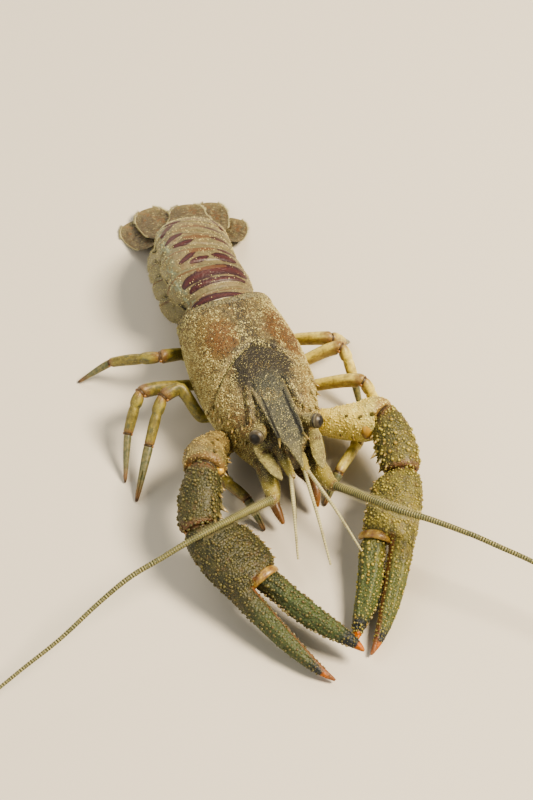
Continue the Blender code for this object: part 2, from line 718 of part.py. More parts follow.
def build_feelers(room):
    """The long feelers, each on a three-part stem and in two lengths."""
    for name, hand, run in (("right", -1.0, RIGHT_FEELER), ("left", 1.0, LEFT_FEELER)):
        run = [Vector(p) for p in run]
        count = len(run)
        half = 5
        meet = bisector(run[half - 1], run[half], run[half + 1])

        def size(i):
            share = (i / (count - 1)) ** 0.8
            r = FEELER_BASE_RADIUS + (FEELER_TIP_RADIUS - FEELER_BASE_RADIUS) * share
            return (r, r, r)

        first = run[1] - run[0]
        length("feeler_" + name + "_1", run[:half + 1], [size(i) for i in range(half + 1)],
               FEELER_SHELL, start=first, end=meet, sides=8)
        length("feeler_" + name + "_2", run[half:], [size(i) for i in range(half, count)],
               FEELER_SHELL, start=meet, sides=8, tip=True)
        root = Vector((hand * 4.6, -36.0, 10.6))
        middle = Vector((hand * 5.2, -42.0, 11.2))
        stem = length("feeler_stem_" + name, (root, middle, run[0]),
                      ((2.3, 2.3, 2.3), (1.9, 1.9, 1.9), (1.3, 1.3, 1.3)),
                      FEELER_SHELL, end=first, sides=10)
        carve(stem, room)


def build_small_feelers(room):
    """A short stem under the beak on each side, carrying two fine feelers."""
    ends = {"right": ((-2.6, -51.0, 8.0), (-5.7, -60.8, 8.5)),
            "left": ((-0.1, -64.1, 8.5), (6.3, -64.4, 10.6))}
    for name, hand in (("right", -1.0), ("left", 1.0)):
        root = Vector((hand * 1.7, -36.5, 14.5))
        knee = Vector((hand * 1.7, -43.0, 15.2))
        head = Vector((hand * 1.5, -46.0, 15.0))
        stem = length("small_feeler_" + name, (root, knee, head),
                      ((1.2, 1.2, 1.2), (1.0, 1.0, 1.0), (0.8, 0.6, 0.6)),
                      FEELER_SHELL, sides=8, tip=True)
        threads = []
        for i, tip in enumerate(ends[name]):
            tip = Vector(tip)
            start = head + Vector((0.35 * (1 if tip.x > head.x else -1), 0.6, 0))
            middle = (start + tip) * 0.5 + Vector((0, 0, 0.8))
            threads.append(length("thread", (start, middle, tip),
                                  ((0.4, 0.4, 0.4), (0.35, 0.35, 0.35), (0.22, 0.22, 0.22)),
                                  FEELER_SHELL, sides=6, tip=True))
        fuse(stem, threads)
        carve(stem, room)


def build_scales(room):
    """The flat leaf beside the base of each long feeler."""
    for name, hand in (("right", -1.0), ("left", 1.0)):
        root = Vector((hand * 6.6, -35.5, 14.6))
        tip = Vector((hand * 4.6, -45.6, 15.6))
        way = (root, along_line(root, tip, 0.5), along_line(root, tip, 0.85), tip)
        leaf = length("feeler_leaf_" + name, way,
                      ((1.5, 0.4, 0.4), (1.7, 0.4, 0.4), (1.2, 0.35, 0.35), (0.3, 0.25, 0.25)),
                      FEELER_SHELL, sides=8, tip=True)
        carve(leaf, room)


def build_mouth_legs(room):
    """The outermost pair of mouth limbs, folded forward under the head."""
    for name, hand in (("right", -1.0), ("left", 1.0)):
        run = ((hand * 3.4, -29.0, 5.4), (hand * 3.6, -36.5, 4.2),
               (hand * 4.6, -42.0, 5.0), (hand * 4.0, -47.5, 2.6))
        limb = length("mouth_leg_" + name, run,
                      ((1.5, 1.4, 1.4), (1.5, 1.3, 1.3), (1.3, 1.1, 1.1), (0.6, 0.5, 0.5)),
                      MOUTH_SHELL, sides=8, tip=True)
        carve(limb, room)


build_carapace()
body_room = grown_carapace()
build_abdomen()
build_fan()
for side_name, side_hand in (("right", -1.0), ("left", 1.0)):
    eye = build_eye("eye_" + side_name, side_hand)
    carve(eye, body_room)
build_legs(body_room)
build_claws(body_room)
build_feelers(body_room)
build_small_feelers(body_room)
build_scales(body_room)
build_mouth_legs(body_room)
bpy.data.objects.remove(body_room)
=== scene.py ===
import math

import bpy
import numpy as np
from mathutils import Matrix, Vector, noise
from mathutils.bvhtree import BVHTree


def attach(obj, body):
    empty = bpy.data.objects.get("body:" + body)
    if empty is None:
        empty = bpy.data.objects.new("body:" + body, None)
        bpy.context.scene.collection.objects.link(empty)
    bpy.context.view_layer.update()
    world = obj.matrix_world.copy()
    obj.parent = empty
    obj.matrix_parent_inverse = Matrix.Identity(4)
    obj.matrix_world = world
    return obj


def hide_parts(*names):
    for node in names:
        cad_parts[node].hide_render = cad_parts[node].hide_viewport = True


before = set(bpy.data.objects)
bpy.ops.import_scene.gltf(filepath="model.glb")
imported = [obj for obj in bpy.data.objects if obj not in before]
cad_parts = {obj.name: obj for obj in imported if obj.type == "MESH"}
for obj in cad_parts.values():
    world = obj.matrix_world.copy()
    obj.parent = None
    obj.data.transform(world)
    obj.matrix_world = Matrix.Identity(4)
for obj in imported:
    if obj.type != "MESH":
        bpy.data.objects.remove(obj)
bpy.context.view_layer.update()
MM = 0.001
MIDDLE = np.array((-11.448, -31.321, 0))
print("nodes:", len(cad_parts))

# %% [markdown]
# ## Working like a modeller
# Each limb is modelled standing straight up from the floor: a circle is added,
# and its face is extruded and resized station by station. That keeps the shape
# easy to control. Only then is the limb bent along its real path, as a wire is
# bent in a model workshop. Before bending, every point remembers its straight
# place in an attribute named rest, so that bands and rows of colour follow the
# limb round its bends.
# %% Selecting, applying and storing
def deselect():
    """Leave object mode clean, with nothing selected."""
    if bpy.context.mode != "OBJECT":
        bpy.ops.object.mode_set(mode="OBJECT")
    bpy.ops.object.select_all(action="DESELECT")


def take(piece):
    """Make one piece the selected and active one."""
    deselect()
    piece.select_set(True)
    bpy.context.view_layer.objects.active = piece


def finish_with(piece, kind, **settings):
    """Add a modifier to a piece and apply it."""
    take(piece)
    modifier = piece.modifiers.new(kind, kind)
    for name, value in settings.items():
        setattr(modifier, name, value)
    bpy.ops.object.modifier_apply(modifier=modifier.name)


def rounded(piece, levels):
    """Round a piece off by subdividing it."""
    finish_with(piece, "SUBSURF", levels=levels, render_levels=levels)


def in_edit(piece, *steps):
    """Run steps of edit mode on the whole of a piece, and leave it smooth."""
    take(piece)
    bpy.ops.object.mode_set(mode="EDIT")
    for step in steps:
        bpy.ops.mesh.select_all(action="SELECT")
        step()
    bpy.ops.object.mode_set(mode="OBJECT")
    bpy.ops.object.shade_smooth()


def built(name, points, faces):
    """A new piece from points in millimetres and faces."""
    mesh = bpy.data.meshes.new(name)
    mesh.from_pydata((points * MM).tolist(), [], faces)
    piece = bpy.data.objects.new(name, mesh)
    bpy.context.scene.collection.objects.link(piece)
    return piece


def renamed(name):
    """Name the primitive that was just added."""
    bpy.context.object.name = name
    return bpy.context.object


def points_of(piece):
    """All the points of a piece, in millimetres."""
    flat = np.empty(len(piece.data.vertices) * 3, np.float32)
    piece.data.vertices.foreach_get("co", flat)
    return flat.reshape(-1, 3).astype(float) / MM


def put_points(piece, points):
    """Move all the points of a piece to new places in millimetres."""
    flat = (np.asarray(points) * MM).astype(np.float32).ravel()
    piece.data.vertices.foreach_set("co", flat)
    piece.data.update()


def remember(piece, name, values):
    """Note one vector or one number for each point, for the materials to read."""
    values = np.asarray(values, np.float32)
    kind, key = ("FLOAT_VECTOR", "vector") if values.ndim == 2 else ("FLOAT", "value")
    if name in piece.data.attributes:
        piece.data.attributes.remove(piece.data.attributes[name])
    layer = piece.data.attributes.new(name, kind, "POINT")
    layer.data.foreach_set(key, values.ravel())


def recall(piece, name="rest"):
    """Read back the vectors that were noted for each point."""
    flat = np.empty(len(piece.data.vertices) * 3, np.float32)
    piece.data.attributes[name].data.foreach_get("vector", flat)
    return flat.reshape(-1, 3).astype(float)


# %% The path that a limb is bent along
def unit(v):
    """A direction, or a row of directions, one long."""
    v = np.asarray(v, float)
    return v / np.maximum(np.linalg.norm(v, axis=-1, keepdims=True), 1e-9)


def way(points, start=None, end=None, up=(0, 0, 1), ease=1):
    """A smooth path through points, with its sideways and upward directions.

    A small ease keeps the lengths between the points straight and the bends tight.
    """
    points = np.array(points, float)
    chords = np.diff(points, axis=0)
    heads = np.empty_like(points)
    heads[0] = unit(chords[0] if start is None else start)
    heads[-1] = unit(chords[-1] if end is None else end)
    heads[1:-1] = unit(unit(chords[:-1]) + unit(chords[1:]))
    samples = []
    for i, chord in enumerate(chords):
        span = np.linalg.norm(chord)
        for t in np.linspace(0, 1, 16, endpoint=False):
            a = 2 * t**3 - 3 * t**2 + 1
            b = t**3 - 2 * t**2 + t
            c = t**3 - t**2
            straight = points[i] + chord * t
            curved = a * points[i] + (1 - a) * points[i + 1] + span * (b * heads[i] + c * heads[i + 1])
            samples.append(straight + (curved - straight) * ease)
    samples.append(points[-1])
    at = np.array(samples)
    ahead = np.gradient(at, axis=0)
    ahead[0], ahead[-1] = heads[0], heads[-1]
    ahead = unit(ahead)
    for _ in range(3 if ease < 1 else 0):
        ahead[1:-1] = unit(ahead[:-2] + 2 * ahead[1:-1] + ahead[2:])
    side = unit(np.cross(ahead, up))
    run = np.concatenate(([0], np.cumsum(np.linalg.norm(np.diff(at, axis=0), axis=1))))
    return {"at": at, "side": side, "up": np.cross(side, ahead), "run": run, "long": run[-1]}


def bend(straight, path):
    """Carry straight points (aside, up, along) to their places round a path."""
    straight = np.asarray(straight, float)
    along = np.clip(straight[:, 2], 0, path["long"])
    over = straight[:, 2] - along

    def read(rows):
        return np.stack([np.interp(along, path["run"], rows[:, k]) for k in range(3)], 1)

    side, up = unit(read(path["side"])), unit(read(path["up"]))
    ahead = np.cross(up, side)
    place = read(path["at"]) - MIDDLE
    return place + side * straight[:, :1] + up * straight[:, 1:2] + ahead * over[:, None]


def heading(path, along, aside=0, step=0.5):
    """The forward direction of a path at a length along it."""
    near, far = bend([(aside, 0, along), (aside, 0, along + step)], path)
    return unit(far - near)


# %% A straight blank, extruded station by station
def settle(piece):
    """Number a blank's points and faces from the bottom up.

    Extruding numbers them in an order that changes from run to run, and the things that
    are sown on a limb later go by that order.
    """
    points, loose = points_of(piece), piece.data
    order = np.lexsort(points.round(4).T)
    rank = np.argsort(order).tolist()
    faces = []
    for polygon in loose.polygons:
        corners = [rank[i] for i in polygon.vertices]
        first = corners.index(min(corners))
        faces.append(corners[first:] + corners[:first])
    piece.data = bpy.data.meshes.new(piece.name)
    piece.data.from_pydata((points[order] * MM).tolist(), [], sorted(faces))
    bpy.data.meshes.remove(loose)


def full(row):
    """A station in full: share of the length, half width, height, depth, shift aside.

    With one width it is round, and with one height it is as deep as it is high.
    """
    row = list(row)
    while len(row) < 4:
        row.append(row[-1])
    return row + [0] * (5 - len(row))


def blank(name, stations, long, sides, levels):
    """Extrude a circle station by station and round it off."""
    deselect()
    bpy.ops.mesh.primitive_circle_add(vertices=sides, radius=MM, fill_type="NGON", location=(0, 0, 0))
    piece = renamed(name)
    bpy.ops.object.mode_set(mode="EDIT")
    bpy.ops.mesh.select_all(action="SELECT")
    old = (1, 1, 0, 0, 0)
    for i, (share, wide, high, low, aside) in enumerate(stations):
        new = (wide, (high + low) / 2, aside, (high - low) / 2, share * long)
        step = tuple((new[k] - old[k]) * MM for k in (2, 3, 4))
        if i == 0:
            bpy.ops.transform.translate(value=step)
        else:
            bpy.ops.mesh.extrude_region_move(TRANSFORM_OT_translate={"value": step})
        bpy.ops.transform.resize(value=(new[0] / old[0], new[1] / old[1], 1),
                                 center_override=(new[2] * MM, new[3] * MM, new[4] * MM))
        old = new
    in_edit(piece, bpy.ops.mesh.normals_make_consistent)
    settle(piece)
    rounded(piece, levels)
    return piece


def limb(name, stations, path, sides=12, levels=2, shape=None):
    """A straight blank, given its own relief by shape, and bent along its path.

    A path's sideways, upward and forward directions are a left hand's, so bending turns
    the shell inside out, and its faces are flipped back.
    """
    rows = [full(row) for row in stations]
    ends = [[row[0], *(value * 0.6 for value in row[1:4]), row[4]] for row in (rows[0], rows[-1])]
    piece = blank(name, [ends[0], *rows, ends[1]], path["long"], sides, levels)
    points = points_of(piece)
    remember(piece, "rest", points)
    remember(piece, "share", points[:, 2] / path["long"])
    if shape is not None:
        points = shape(points, path["long"])
    put_points(piece, bend(points, path))
    in_edit(piece, bpy.ops.mesh.flip_normals)
    return piece


# %% Small things that repeat
def moulded(kind, shape=None, **settings):
    """One small solid to copy: a primitive, given its shape by moving its points."""
    deselect()
    getattr(bpy.ops.mesh, "primitive_" + kind + "_add")(location=(0, 0, 0), **settings)
    piece = bpy.context.object
    points = points_of(piece) * MM
    if shape is not None:
        points = shape(points)
    faces = []
    for polygon in piece.data.polygons:
        corner = list(polygon.vertices)
        faces += [(corner[0], corner[k], corner[k + 1]) for k in range(1, len(corner) - 1)]
    bpy.data.objects.remove(piece)
    return points, np.array(faces)


def laid_out(home):
    """The skin laid out flat: the turn round its long axis across, and the place along it up."""
    centred = home - home.mean(0)
    along, aside, above = (centred @ np.linalg.svd(centred, full_matrices=False)[2].T).T
    turn = np.arctan2(above, aside) if np.ptp(above) > 0.01 else aside
    flat = np.stack([turn, along], 1)
    return (flat - flat.min(0)) / np.ptp(flat, axis=0) * 0.98 + 0.01


BAKE_PATCH = 0.003
MANY = 100


def spread(name, mould, places, outs, sizes, rest=None):
    """Copy a moulded thing to many places, standing out along its direction."""
    base, faces = mould
    places, outs, sizes = np.asarray(places, float), unit(outs), np.asarray(sizes, float)
    if sizes.ndim == 1:
        sizes = np.repeat(sizes[:, None], 3, 1)
    guide = np.where(np.abs(outs[:, 2:]) < 0.9, (0, 0, 1), (0, 1, 0))
    x = unit(np.cross(guide, outs))
    turned = np.stack([x, np.cross(outs, x), outs], 2)
    verts = np.einsum("mij,nmj->mni", turned, base[:, None, :] * sizes[None]) + places[:, None, :]
    count = len(base)
    index = (faces[None] + count * np.arange(len(places))[:, None, None]).reshape(-1, 3)
    piece = built(name, verts.reshape(-1, 3), index.tolist())
    home = places if rest is None else rest
    remember(piece, "rest", np.repeat(home, count, 0))
    remember(piece, "lift", np.tile(base[:, 2], len(places)))
    if len(places) > MANY:
        flat = np.repeat(laid_out(home), count, 0) + np.tile(base[:, :2] * BAKE_PATCH / 2, (len(places), 1))
        layer = piece.data.uv_layers.new(name="OFBake")
        layer.data.foreach_set("uv", flat[index.ravel()].astype(np.float32).ravel())
    take(piece)
    bpy.ops.object.shade_smooth()
    return piece


def sow(piece, spacing, seed, keep=None, tries=3):
    """Places scattered evenly on a piece, no two nearer than the spacing."""
    mesh = piece.data
    mesh.calc_loop_triangles()
    tris = np.empty(len(mesh.loop_triangles) * 3, np.int32)
    mesh.loop_triangles.foreach_get("vertices", tris)
    tris = tris.reshape(-1, 3)
    points, rest = points_of(piece), recall(piece)
    a, b, c = (points[tris[:, k]] for k in range(3))
    home_a, home_b, home_c = (rest[tris[:, k]] for k in range(3))
    across = np.cross(b - a, c - a)
    area = np.linalg.norm(across, axis=1) / 2
    draw = np.random.default_rng(seed)
    many = int(area.sum() / spacing**2 * tries)
    pick = draw.choice(len(tris), many, p=area / area.sum())
    u, v = draw.random(many), draw.random(many)
    flip = u + v > 1
    u[flip], v[flip] = 1 - u[flip], 1 - v[flip]
    shares = np.stack([1 - u - v, u, v])[:, :, None]
    at = a[pick] * shares[0] + b[pick] * shares[1] + c[pick] * shares[2]
    home = home_a[pick] * shares[0] + home_b[pick] * shares[1] + home_c[pick] * shares[2]
    out = unit(across[pick])
    if keep is not None:
        chosen = keep(home, at, out)
        at, home, out = at[chosen], home[chosen], out[chosen]
    cells, kept = {}, []
    for i, p in enumerate(at):
        cell = tuple(int(q // spacing) for q in p)
        near = [j for dx in (-1, 0, 1) for dy in (-1, 0, 1) for dz in (-1, 0, 1)
                for j in cells.get((cell[0] + dx, cell[1] + dy, cell[2] + dz), ())]
        if all(np.dot(p - at[j], p - at[j]) >= spacing**2 for j in near):
            cells.setdefault(cell, []).append(i)
            kept.append(i)
    return at[kept], out[kept], home[kept]


def surface_of(piece):
    """A piece as a surface that rays can be shot at."""
    return BVHTree.FromObject(piece, bpy.context.evaluated_depsgraph_get())


def around(surface, path, along, turn, aside=0):
    """The place on a limb at a length along it and an angle round it, in degrees."""
    c, s = math.cos(math.radians(turn)), math.sin(math.radians(turn))
    heart, edge = bend([(aside, 0, along), (aside + c, s, along)], path)
    out = unit(edge - heart)
    hit = surface.ray_cast(Vector((heart + out * 12) * MM), Vector(-out))
    return (np.array(hit[0]) / MM, np.array(hit[1])) if hit[0] is not None else (heart, out)


def dome(points):
    """A rounded grain, half sunk, its base a little wider than its top."""
    points[:, 2] = np.where(points[:, 2] < 0, points[:, 2] * 0.5, points[:, 2])
    return points


def hooked(points):
    """A thorn leaning toward its own x, with a swollen foot."""
    rise = np.clip(points[:, 2] + 0.5, 0, 1)
    points[:, :2] *= (1 - 0.35 * np.sin(rise * 3.14))[:, None]
    points[:, 2] = rise - 0.15
    return points


GRIT = moulded("uv_sphere", dome, segments=4, ring_count=2, radius=1)
GRAIN = moulded("ico_sphere", dome, subdivisions=1, radius=1)
PEBBLE = moulded("ico_sphere", dome, subdivisions=2, radius=1)
THORN = moulded("cone", hooked, vertices=8, radius1=0.5, radius2=0.02, depth=1)
HAIR = moulded("cone", lambda p: p + (0, 0, 0.5), vertices=3, radius1=0.5, radius2=0.08, depth=1)
print("moulds", len(GRAIN[1]), len(PEBBLE[1]), len(THORN[1]), len(HAIR[1]), "triangles")

# %% [markdown]
# ## Colour
# The hex values below are sRGB colours. One function turns them to the linear
# numbers that Blender works with, and one function adds any node. A finish is
# painted like a model: a ground colour first, then layer over layer, each laid
# on where its mask is high.
# %% Colour helpers
class Brush:
    """What is being painted: its nodes, its shader, its places and its colour so far."""


brush = Brush()


def ink(text):
    """An sRGB hex colour as linear red, green, blue and alpha."""
    parts = [int(text[k:k + 2], 16) / 255 for k in (1, 3, 5)]
    return (*[c / 12.92 if c <= 0.04045 else ((c + 0.055) / 1.055) ** 2.4 for c in parts], 1)


def node(kind, links=None, out=0, **settings):
    """Add a node, set what it is given, link or fill its inputs, and hand on one output."""
    made = brush.tree.nodes.new("ShaderNode" + kind)
    for name, value in settings.items():
        setattr(made, name, value)
    for name, value in (links or {}).items():
        if isinstance(value, bpy.types.NodeSocket):
            brush.tree.links.new(value, made.inputs[name])
        else:
            made.inputs[name].default_value = value
    return made.outputs[out]


def noted(name, out="Fac"):
    """What was noted for each point under a name: a number, or a Vector."""
    return node("Attribute", out=out, attribute_name=name)


def begin(name, ground, roughness=0.45, coat=0, subsurface=0):
    """A new material, with its ground colour and the numbers that are the same all over it."""
    material = bpy.data.materials.new(name)
    material.use_nodes = True
    brush.tree = material.node_tree
    brush.shader = brush.tree.nodes["Principled BSDF"]
    brush.colour = ink(ground)
    constants = {"Base Color": brush.colour, "Roughness": roughness, "IOR": 1.53, "Coat Weight": coat,
                 "Coat Roughness": 0.25, "Subsurface Weight": subsurface}
    if subsurface:
        constants.update({"Subsurface Radius": (1, 0.5, 0.25), "Subsurface Scale": 0.0006})
    for socket, value in constants.items():
        brush.shader.inputs[socket].default_value = value
    brush.rest = noted("rest", "Vector")
    return material


def ramp(value, low, high, end=1, start=0):
    """A number that runs from start to end while a value runs from low to high."""
    ends = {"From Min": low, "From Max": high, "To Min": start, "To Max": end}
    return node("MapRange", {"Value": value, **ends})


def lay(over, mask, low=0, high=1, strength=1):
    """Lay one more colour over the others, where a mask runs from low to high."""
    layers = {0: ramp(mask, low, high, strength), 6: brush.colour, 7: ink(over)}
    brush.colour = node("Mix", layers, 2, data_type="RGBA")
    brush.tree.links.new(brush.colour, brush.shader.inputs["Base Color"])


def vector(operation, *values, **named):
    """Arithmetic on places."""
    return node("VectorMath", {**dict(enumerate(values)), **named}, operation=operation)


def number(operation, *values):
    """Arithmetic on masks."""
    return node("Math", dict(enumerate(values)), operation=operation)


def noisy(out, grain, detail, seed, **more):
    """Noise in patches whose usual width is grain millimetres."""
    inputs = {"Vector": brush.rest, "W": seed, "Scale": 1 / grain, "Detail": detail, **more}
    return node("TexNoise", inputs, out, noise_dimensions="4D")


def cloud(grain, detail=3, seed=0, **more):
    """Uneven patches."""
    return noisy("Fac", grain, detail, seed, Roughness=0.55, **more)


def specks(grain, seed=0):
    """Distance from the nearest of many scattered specks, grain millimetres apart."""
    moved = vector("ADD", brush.rest, (seed, seed * 0.7, 0))
    return node("TexVoronoi", {"Vector": moved, "Scale": 1 / grain}, "Distance")


def region(where, centre, size):
    """One at the centre of an ellipsoid in millimetres, falling to zero at its edge."""
    local = node("Mapping", {"Vector": where, "Location": centre, "Scale": size}, vector_type="TEXTURE")
    return node("TexGradient", {"Vector": local}, "Fac", gradient_type="SPHERICAL")


def ragged(grain, amount):
    """The place, shifted unevenly, so that borders painted with it aren't straight."""
    centred = vector("SUBTRACT", noisy("Color", grain, 3, 0), (0.5, 0.5, 0.5))
    return vector("ADD", brush.rest, vector("SCALE", centred, Scale=amount))


def stretched(share):
    """The place, with patches drawn out along the limb."""
    return node("Mapping", {"Vector": brush.rest, "Scale": (1, 1, share)})


def axes(where=None):
    """The three numbers of a place."""
    return node("SeparateXYZ", {0: brush.rest if where is None else where}, slice(None))


def off(value, centre):
    """How far a number is from a centre, either way."""
    return number("ABSOLUTE", number("SUBTRACT", value, centre))


def torn(mask, grain, amount, seed=0):
    """A mask with an uneven border."""
    return number("ADD", mask, number("MULTIPLY_ADD", cloud(grain, 4, seed), amount, -amount / 2))


def relief(wave, depth):
    """A bump of a depth in millimetres."""
    bump = node("Bump", {"Height": wave, "Distance": depth * MM, "Strength": 1})
    brush.tree.links.new(bump, brush.shader.inputs["Normal"])


def pitted(wave, dots, dip, depth, share=1):
    """A bump of soft waves with a bead, or with a plus sign a dip, at each dot."""
    relief(number("MULTIPLY_ADD", wave, share, number("MULTIPLY", dots, dip)), depth)


def dress(piece, material, slot, *nodes):
    """Give a piece its material and its place in the frame."""
    piece.data.materials.clear()
    piece.data.materials.append(material)
    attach(piece, "root")
    if nodes:
        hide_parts(*nodes)
    return piece


# %% [markdown]
# ## Camera, floor and light
# The photograph was taken from above and ahead of the animal, a little to its
# right. A long lens keeps the perspective as flat as it is there.
# %% Stage
# the place looked at, the direction back to the camera, and how far away it is
AIM, BACK, AWAY = (12.348, 8.421, 12), (-0.2082, -0.5996, 0.7727), 354
back = Vector(BACK).normalized()
eye = bpy.data.cameras.new("view")
eye.lens = 76.5
eye.sensor_width = 36
eye.sensor_fit = "VERTICAL"
eye.sensor_height = 36
eye.clip_start = 0.01
viewer = bpy.data.objects.new("view", eye)
viewer.location = (Vector(AIM) + back * AWAY) * MM
viewer.rotation_euler = back.to_track_quat("Z", "Y").to_euler()
bpy.context.scene.collection.objects.link(viewer)
bpy.context.scene.camera = viewer

deselect()
bpy.ops.mesh.primitive_plane_add(size=6, location=(0, 0, 0))
floor = bpy.context.object
floor.name = "floor"
paper = begin("paper_floor", "#d9d4ca", 0.9)
floor.data.materials.append(paper)


def softbox(name, place, size, power, colour):
    """A square soft light that looks at the animal."""
    lamp = bpy.data.lights.new(name, "AREA")
    lamp.size = size
    lamp.energy = power
    lamp.color = ink(colour)[:3]
    stand = bpy.data.objects.new(name, lamp)
    stand.location = place
    stand.rotation_euler = Vector(place).to_track_quat("Z", "Y").to_euler()
    bpy.context.scene.collection.objects.link(stand)


softbox("key", (0.5, -0.25, 0.75), 0.3, 17, "#ffedcf")
softbox("fill", (-0.75, -0.2, 0.5), 0.9, 4.2, "#f4eedf")
softbox("rim", (-0.1, 0.8, 0.55), 0.6, 4, "#fff4e0")
world = bpy.data.worlds.new("room")
world.use_nodes = True
world.node_tree.nodes["Background"].inputs["Color"].default_value = ink("#e8e6e1")
world.node_tree.nodes["Background"].inputs["Strength"].default_value = 0.22
bpy.context.scene.world = world
bpy.context.scene.view_settings.look = "AgX - Medium High Contrast"

# %% [markdown]
# ## The carapace
# It is one shell over head and chest. Its profile is read from a table of cross
# sections, and a flat grid is rolled round it, which holds the neck groove, the
# narrow strip along the middle, the ridges behind the eyes and the rolled rear
# rim better than any extruded shape would.
# %% Carapace sizes
PROFILE = np.array((  # y, half width, top, widest height, underside
    (-38.5, 4.4, 14.8, 10.5, 7.4), (-36.5, 6.4, 16.8, 10.8, 6.2), (-34, 8, 18.6, 11.2, 5.6),
    (-31, 9.3, 20, 11.4, 5.3), (-27, 10.6, 21.1, 11.5, 5), (-22, 11.7, 22.1, 11.5, 5),
    (-16, 12.1, 22.5, 11.5, 5), (-10, 12, 22, 11.4, 5), (-5, 11.6, 21.1, 11.2, 5.2),
    (0, 11, 20.1, 11, 6), (3.5, 10.5, 19.4, 11, 6.6)))
SWEEP = np.array((
    (-38.5, 0), (-34, -0.8), (-30, -2), (-24, -4.5), (-19, -7), (-16, -8.3),
    (-12, -6), (-8, -2.5), (-4, 1), (0, 3)))


def read_smooth(table, place, column):
    """A value between the rows of a table, on a smooth curve through them."""
    x, y = table[:, 0], table[:, column]
    slope = np.gradient(y, x)
    i = np.clip(np.searchsorted(x, place) - 1, 0, len(x) - 2)
    span = x[i + 1] - x[i]
    t = np.clip((place - x[i]) / span, 0, 1)
    return ((2 * t**3 - 3 * t**2 + 1) * y[i] + (t**3 - 2 * t**2 + t) * span * slope[i]
            + (3 * t**2 - 2 * t**3) * y[i + 1] + (t**3 - t**2) * span * slope[i + 1])


def carapace_skin(turn, middle_y, grow=0):
    """Places on the carapace for angles round it and places along its middle."""
    c, s = np.cos(turn), np.sin(turn)
    y = middle_y + read_smooth(SWEEP, middle_y, 1) * np.abs(c) ** 1.3
    wide, top, centre, under = (read_smooth(PROFILE, y, k) for k in (1, 2, 3, 4))
    power = np.where(s > 0, 2.15, 2.6)
    across = np.sign(c) * np.abs(c) ** (2 / power) * (wide + grow)
    reach = np.where(s > 0, top - centre, centre - under) + grow
    return np.stack([across, y, centre + np.sign(s) * np.abs(s) ** (2 / power) * reach], -1)


def hump(distance, width):
    """One at zero distance, falling smoothly over a width."""
    return np.exp(-(distance / width) ** 2)


def strip_middle(middle_y):
    """How far the narrow strip along the back has swung to the left."""
    return 0.11 * np.clip(middle_y + 15.5, 0, None)


def strip_half(middle_y):
    """Half the breadth of that strip, which is waisted."""
    return 1.15 + 1.6 * ((middle_y + 7.5) / 7.5) ** 2


def carapace_relief(place, middle_y, s):
    """How far the carapace stands out or in from its plain form."""
    x, y = np.abs(place[..., 0]), place[..., 1]
    from_strip = np.abs(place[..., 0] - strip_middle(middle_y))
    above = np.clip(s * 4 + 0.6, 0, 1)
    out = -0.5 * hump(middle_y + 16, 0.55) * above
    out = out + 0.22 * hump(middle_y + 14.8, 0.8) * above + 0.2 * hump(middle_y + 17.2, 0.8) * above
    strip = np.clip((middle_y + 15.5) / 0.8, 0, 1) * np.clip((-1.2 - middle_y) / 0.6, 0, 1) * (s > 0)
    out = out - 0.3 * hump(from_strip - strip_half(middle_y), 0.28) * strip
    out = out - 0.1 * hump(from_strip, 1) * strip
    out = out - 0.3 * hump(middle_y + 1.7, 0.32) * above + 0.18 * hump(middle_y + 0.7, 0.5) * above
    out = out + 0.45 * hump(x - 6, 3) * hump(y + 8, 5) * (s > 0)
    out = out + 0.35 * hump(x - 2.6, 2.2) * hump(y + 20.5, 3.2) * (s > 0)
    across = x - np.interp(y, (-31.6, -28.8, -24.6), (5.4, 4.7, 4.1))
    ridge = np.clip((y + 32.4) / 0.8, 0, 1) * np.clip((-23.8 - y) / 2, 0, 1) * (s > 0)
    out = out + (0.6 * hump(across, 0.5) - 0.5 * hump(across + 1, 0.3) - 0.3 * hump(across - 1, 0.3)) * ridge
    return out + 0.3 * hump(x - 9.2, 1.4) * hump(y + 26, 2.5)


def wrapped(name, across, along, shape, rest=None):
    """Roll a grid round a form: shape turns two shares of the grid into places."""
    deselect()
    bpy.ops.mesh.primitive_grid_add(x_subdivisions=across, y_subdivisions=along, size=2, location=(0, 0, 0))
    piece = renamed(name)
    flat = points_of(piece) * MM
    u, v = (flat[:, 0] + 1) / 2, (flat[:, 1] + 1) / 2
    places = shape(u, v)
    remember(piece, "rest", places if rest is None else rest(u, v))
    put_points(piece, places - MIDDLE)
    return piece


def seal(piece, distance=0.004):
    """Merge the seam of a rolled grid and close the holes at its ends."""
    in_edit(piece, lambda: bpy.ops.mesh.remove_doubles(threshold=distance * MM),
            lambda: bpy.ops.mesh.fill_holes(sides=0), bpy.ops.mesh.normals_make_consistent)
    return piece


